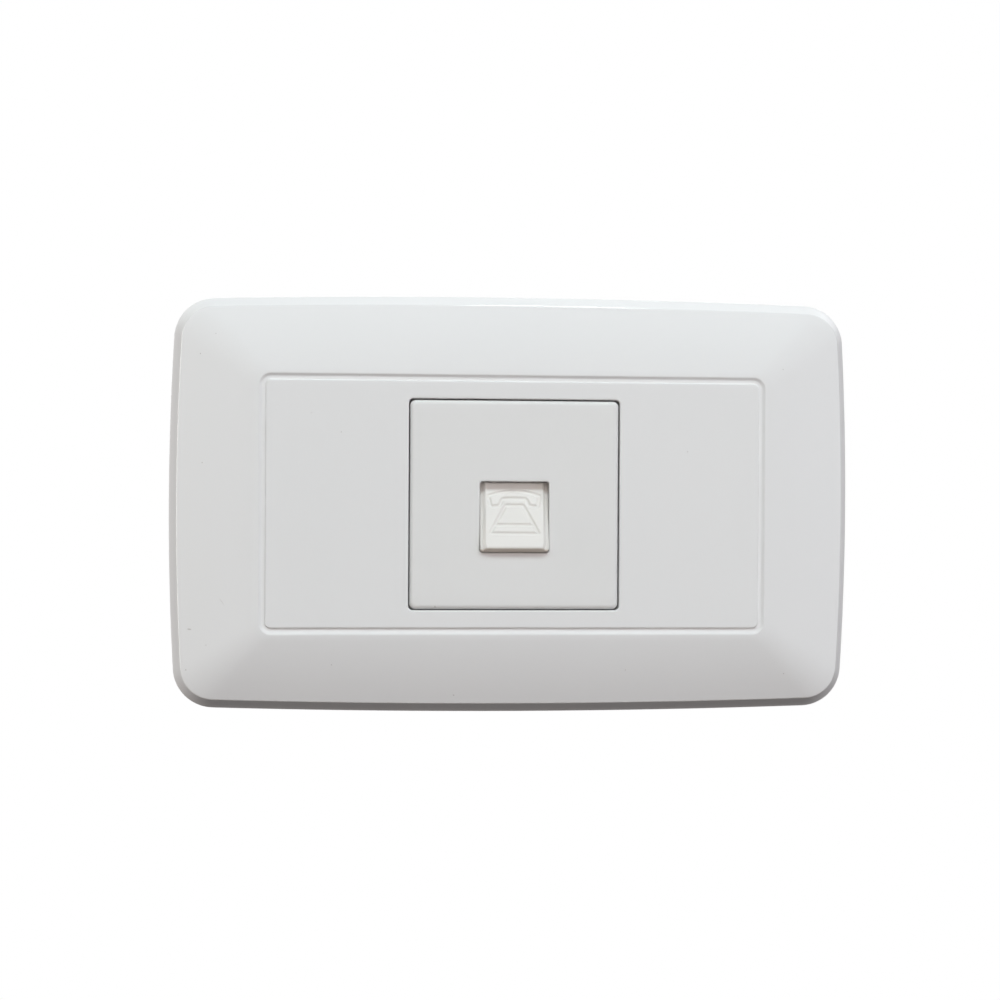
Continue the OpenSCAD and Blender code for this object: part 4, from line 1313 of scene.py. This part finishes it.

# %% [markdown]
# ## Screws
#
# A screw is turned, so its side is one profile spun round its axis: a domed head with a slot, a
# neck and a thread. Both kinds here come from one function. Grooves along the shank are rings rather
# than a true helix, which at two millimetres nobody can tell, and rings repeat exactly.

# %% A turned screw
def screw_profile(shank_r, length, head_r, head_h, pitch=0.45, deep=0.13):
    """(radius, height) from the head's middle down to the tip. The head lies below height 0."""
    dome = 0.18 * head_h
    points = [(0.0, -head_h)]
    points += [(head_r * math.sin(a), -head_h + dome * (1 - math.cos(a)) * 1.0) for a in arc(6, 10, 80)]
    points += [(head_r, -head_h + dome + 0.1), (head_r, -0.08), (head_r - 0.08, 0.0), (shank_r, 0.0)]
    rings = int((length - 0.8) / pitch)
    for i in range(rings):
        start = 0.3 + i * pitch
        points += [(shank_r, start), (shank_r - deep, start + pitch * 0.5)]
    points += [(shank_r, length - 0.4), (shank_r - 0.3, length), (0.0, length)]
    return points


def turned(name, profile, sides=32):
    """A closed mesh from a profile spun round Z."""
    points = [Vector((0, 0, profile[0][1] * MM))]
    for radius, height in profile[1:-1]:
        for k in range(sides):
            a = 2 * math.pi * k / sides
            points.append(Vector((radius * math.cos(a) * MM, radius * math.sin(a) * MM, height * MM)))
    points.append(Vector((0, 0, profile[-1][1] * MM)))
    rows = len(profile) - 2
    faces = [(0, 1 + (k + 1) % sides, 1 + k) for k in range(sides)]
    for row in range(rows - 1):
        base = 1 + row * sides
        for k in range(sides):
            n = (k + 1) % sides
            faces.append((base + k, base + n, base + sides + n, base + sides + k))
    base = 1 + (rows - 1) * sides
    faces += [(base + k, base + (k + 1) % sides, len(points) - 1) for k in range(sides)]
    return closed_mesh(name, points, faces, 50)


def slotted(piece, head_h, slot_wide=0.6, slot_deep=0.7):
    """Cuts the screwdriver slot across the head."""
    tool = box_tool("slot_tool", (-4, -head_h - 1.0, -slot_wide / 2), (4, -head_h + slot_deep, slot_wide / 2))
    return rounded(cut_away(piece, tool), 0.04, 1, 45)


def screw(node, shank_r, length, head_r, head_h, turn_degrees):
    """A screw in the place of a packed one, its head at the rear and its slot turned a little."""
    (x0, y0, z0), (x1, y1, z1) = low_high(node)
    profile = screw_profile(shank_r, length, head_r, head_h)
    piece = slotted(as_object(node + "_turned", turned(node, profile)), head_h)
    upright = Matrix.Rotation(math.pi / 2, 4, "X") @ Matrix.Rotation(math.radians(turn_degrees), 4, "Z")
    seat = wall((x0 + x1) / 2, (y0 + y1) / 2, z0 + head_h)
    piece.data.transform(Matrix.Translation(seat) @ upright)
    return dress(piece, "screw_steel", "root", node)


for index, turn_degrees in ((1, 20), (2, -35)):
    screw("board_screw_%d" % index, 1.1, 6.0, 2.0, 1.4, turn_degrees)
for index, turn_degrees in ((1, 8), (2, -14), (3, 31), (4, 3)):
    made = screw("terminal_screw_%d" % index, 1.25, 3.1, 1.8, 1.6, turn_degrees)
print("screws:", len(made.data.polygons), "faces each")

# %% [markdown]
# ## Tracks and solder on the board
#
# Each contact's tail is soldered on the board's rear, and a copper track runs from there to its
# terminal under the green resist. A track is a bent line with a flat section, from a tree like the
# wire's. A joint is a small turned cone of solder that rises up the tail.

# %% Tree: a flat track
def track_tree():
    tree = GeometryTree("copper_track", Wide=("Float", 0.6 * MM), Thick=("Float", 0.08 * MM))
    line = tree.node("GeometryNodeMeshToCurve", {}, {0: tree.given("Geometry")})
    section = tree.node(
        "GeometryNodeCurvePrimitiveQuadrilateral", {},
        {"Width": tree.given("Wide"), "Height": tree.given("Thick")},
    )
    tree.end(tree.node("GeometryNodeCurveToMesh", {}, {0: line, 1: section, "Fill Caps": True}), "track_resist")
    return tree


# %% Tracks and solder joints
def track_resist():
    finish = Finish("track_resist")
    cloud = finish.noise(3, detail=3)
    green = finish.mix(cloud, tone(0.035, 0.19, 0.075), tone(0.05, 0.24, 0.10))
    return finish.surface(Base_Color=green, Roughness=0.26 + 0.1 * cloud, IOR=1.52,
                          Normal=finish.bump(finish.noise(0.3, detail=2), 0.003))


def solder():
    finish = Finish("solder")
    cloud = finish.noise(0.5, detail=3)
    return finish.surface(
        Base_Color=finish.mix(cloud, tone(0.60, 0.60, 0.62), tone(0.72, 0.72, 0.74)),
        Metallic=1.0, Roughness=0.28 + 0.2 * cloud, Normal=finish.bump(cloud, 0.01),
    )


FINISHES["track_resist"] = track_resist()
FINISHES["solder"] = solder()
BOARD_REAR = low_high("circuit_board")[0][2]
BLOCK_TOP = low_high("terminal_block")[1][1]


def track(index, tree):
    (x0, _, z0), (x1, y1, _) = low_high("contact_wire_%d" % index)
    (t0, _, _), (t1, _, _) = low_high("terminal_screw_%d" % index)
    tail, clamp, up = (x0 + x1) / 2, (t0 + t1) / 2, y1 - CONTACT_T / 2
    low = BLOCK_TOP + 0.8
    line = [(tail, up), (tail, up - 0.8), (clamp, low), (clamp, BLOCK_TOP - 0.6)]
    mesh = bpy.data.meshes.new("track")
    mesh.from_pydata([wall(x, z, BOARD_REAR) for x, z in line], [(0, 1), (1, 2), (2, 3)], [])
    piece = tree.build("copper_track_%d" % index, mesh, Wide=0.5 * MM, Thick=0.12 * MM)
    return dress(piece, "board_laminate", "root", finish="track_resist")


def solder_joint(index, radius=0.42, height=0.55):
    (x0, _, _), (x1, y1, _) = low_high("contact_wire_%d" % index)
    profile = [(0.0, -height), (0.20, -height), (0.24, -height * 0.6), (0.31, -height * 0.25)]
    profile += [(radius, -0.03), (radius, 0.1), (0.0, 0.1)]
    piece = as_object("solder_joint_%d" % index, turned("solder_joint", profile, 20))
    place = Matrix.Translation(wall((x0 + x1) / 2, y1 - CONTACT_T / 2, BOARD_REAR))
    piece.data.transform(place @ Matrix.Rotation(math.pi / 2, 4, "X"))
    return dress(piece, "screw_steel", "root", finish="solder")


tracks = track_tree()
for index in (1, 2, 3, 4):
    track(index, tracks)
    made = solder_joint(index)
print("solder joints: 4 of", len(made.data.polygons), "faces")

# %% [markdown]
# ## Floor and light
#
# The photograph is a product picture on plain white. The shadows in the window and under the lip
# are as long as they are deep, so the key light stands about 46 degrees up in front, and they end
# softly, so it is wide and low. The shadows are warm and the panel is neutral, so the soft light
# from straight in front is a little warm and the key a little cool. Lamps level with the wall
# light the rim alone. A small one above gives the glint on the edge that cloths have rubbed. The
# background is white for the camera only, by a Light Path node, so it doesn't flood the shaded
# rim. A pale floor lies 1.3 m below, as under a socket beside a door.

# %% World, floor and lights
WHITE_SEEN = 1.0
WORLD_FILL = 0.01
FLOOR_DOWN = -1.3


def world():
    made = bpy.data.worlds.new("studio")
    made.use_nodes = True
    bpy.context.scene.world = made
    nodes = Nodes(made.node_tree)
    made.node_tree.nodes.clear()
    seen = nodes.node("ShaderNodeLightPath", output=0)
    white = nodes.node("ShaderNodeBackground", {}, {"Color": (1, 1, 1, 1), "Strength": WHITE_SEEN})
    fill = nodes.node("ShaderNodeBackground", {}, {"Color": (0.95, 0.96, 1, 1), "Strength": WORLD_FILL})
    both = nodes.node("ShaderNodeMixShader", {}, {0: seen, 1: fill, 2: white})
    nodes.node("ShaderNodeOutputWorld", {}, {"Surface": both})


def floor():
    half = 0.5
    mesh = bpy.data.meshes.new("floor")
    mesh.from_pydata(
        [(-half, -half, FLOOR_DOWN), (half, -half, FLOOR_DOWN), (half, half, FLOOR_DOWN), (-half, half, FLOOR_DOWN)],
        [], [(0, 1, 2, 3)],
    )
    finish = Finish("floor_paint")
    pale = finish.mix(finish.noise(60, detail=3), tone(0.78, 0.78, 0.78), tone(0.80, 0.80, 0.80))
    mesh.materials.append(finish.surface(Base_Color=pale, Roughness=0.7))
    as_object("floor", mesh)


def soft_light(name, place, size, watts, colour=(1, 1, 1)):
    """A square lamp at a place in metres that faces the object."""
    lamp = bpy.data.lights.new(name, "AREA")
    lamp.shape = "RECTANGLE"
    lamp.size, lamp.size_y = size
    lamp.energy = watts
    lamp.color = colour
    piece = bpy.data.objects.new(name, lamp)
    bpy.context.scene.collection.objects.link(piece)
    piece.location = place
    piece.rotation_euler = (Vector((0, 0, 0)) - Vector(place)).to_track_quat("-Z", "Y").to_euler()


world()
floor()
soft_light("key", (0.0, -0.745, 0.75), (1.1, 0.3), 7.35, (0.88, 1.0, 1.02))
soft_light("front", (0.0, -1.18, 0.12), (1.4, 0.7), 5.5, (1.13, 1.0, 0.93))
soft_light("above", (0.0, 0.25, 1.0), (1.2, 0.4), 0.4, (1.1, 1.0, 0.93))
soft_light("glint", (0.094, 0.30, 0.97), (0.14, 0.2), 3.2)
soft_light("left", (-1.0, 0.05, 0.1), (0.6, 0.6), 4.8, (1.04, 1.0, 0.97))
soft_light("right", (1.0, 0.1, 0.1), (0.6, 0.6), 2.25, (1.03, 1.0, 0.98))
soft_light("right_front", (0.85, -0.65, 0.15), (0.5, 0.8), 1.9, (1.0, 1.0, 1.12))
soft_light("rear", (0.2, 0.9, 0.25), (0.8, 0.8), 6.0)

# %% [markdown]
# ## The camera
#
# The photograph was taken from straight in front, close enough for the plate's left end to look
# taller than its right. A fit of the plate's outline, the channel and the module's gap gave the
# place and the lens below: the picture's centre lies 50 pixels to the left of the lens's axis, so
# the sensor is shifted a little.

# %% The photograph's camera
PICTURE = 1000
SENSOR = 36.0
FOCAL_PIXELS = 1723
AXIS_PIXEL_X = 550
CAMERA_PLACE = (-0.0164, -0.3000, 0.0025)
YAW, PITCH, ROLL = 4.39, 0.32, -0.34


def camera():
    lens = bpy.data.cameras.new("photograph")
    lens.sensor_width = SENSOR
    lens.lens = FOCAL_PIXELS * SENSOR / PICTURE
    lens.shift_x = (PICTURE / 2 - AXIS_PIXEL_X) / PICTURE
    lens.clip_start = 0.01
    viewer = bpy.data.objects.new("photograph", lens)
    bpy.context.scene.collection.objects.link(viewer)
    turn = Matrix.Rotation(math.pi / 2, 4, "X")
    for angle, axis in ((-YAW, "Y"), (-PITCH, "X"), (-ROLL, "Z")):
        turn = turn @ Matrix.Rotation(math.radians(angle), 4, axis)
    viewer.matrix_world = Matrix.Translation(CAMERA_PLACE) @ turn
    bpy.context.scene.camera = viewer


camera()
bpy.context.scene.view_settings.view_transform = "Standard"
print("lens:", round(bpy.context.scene.camera.data.lens, 2), "mm")
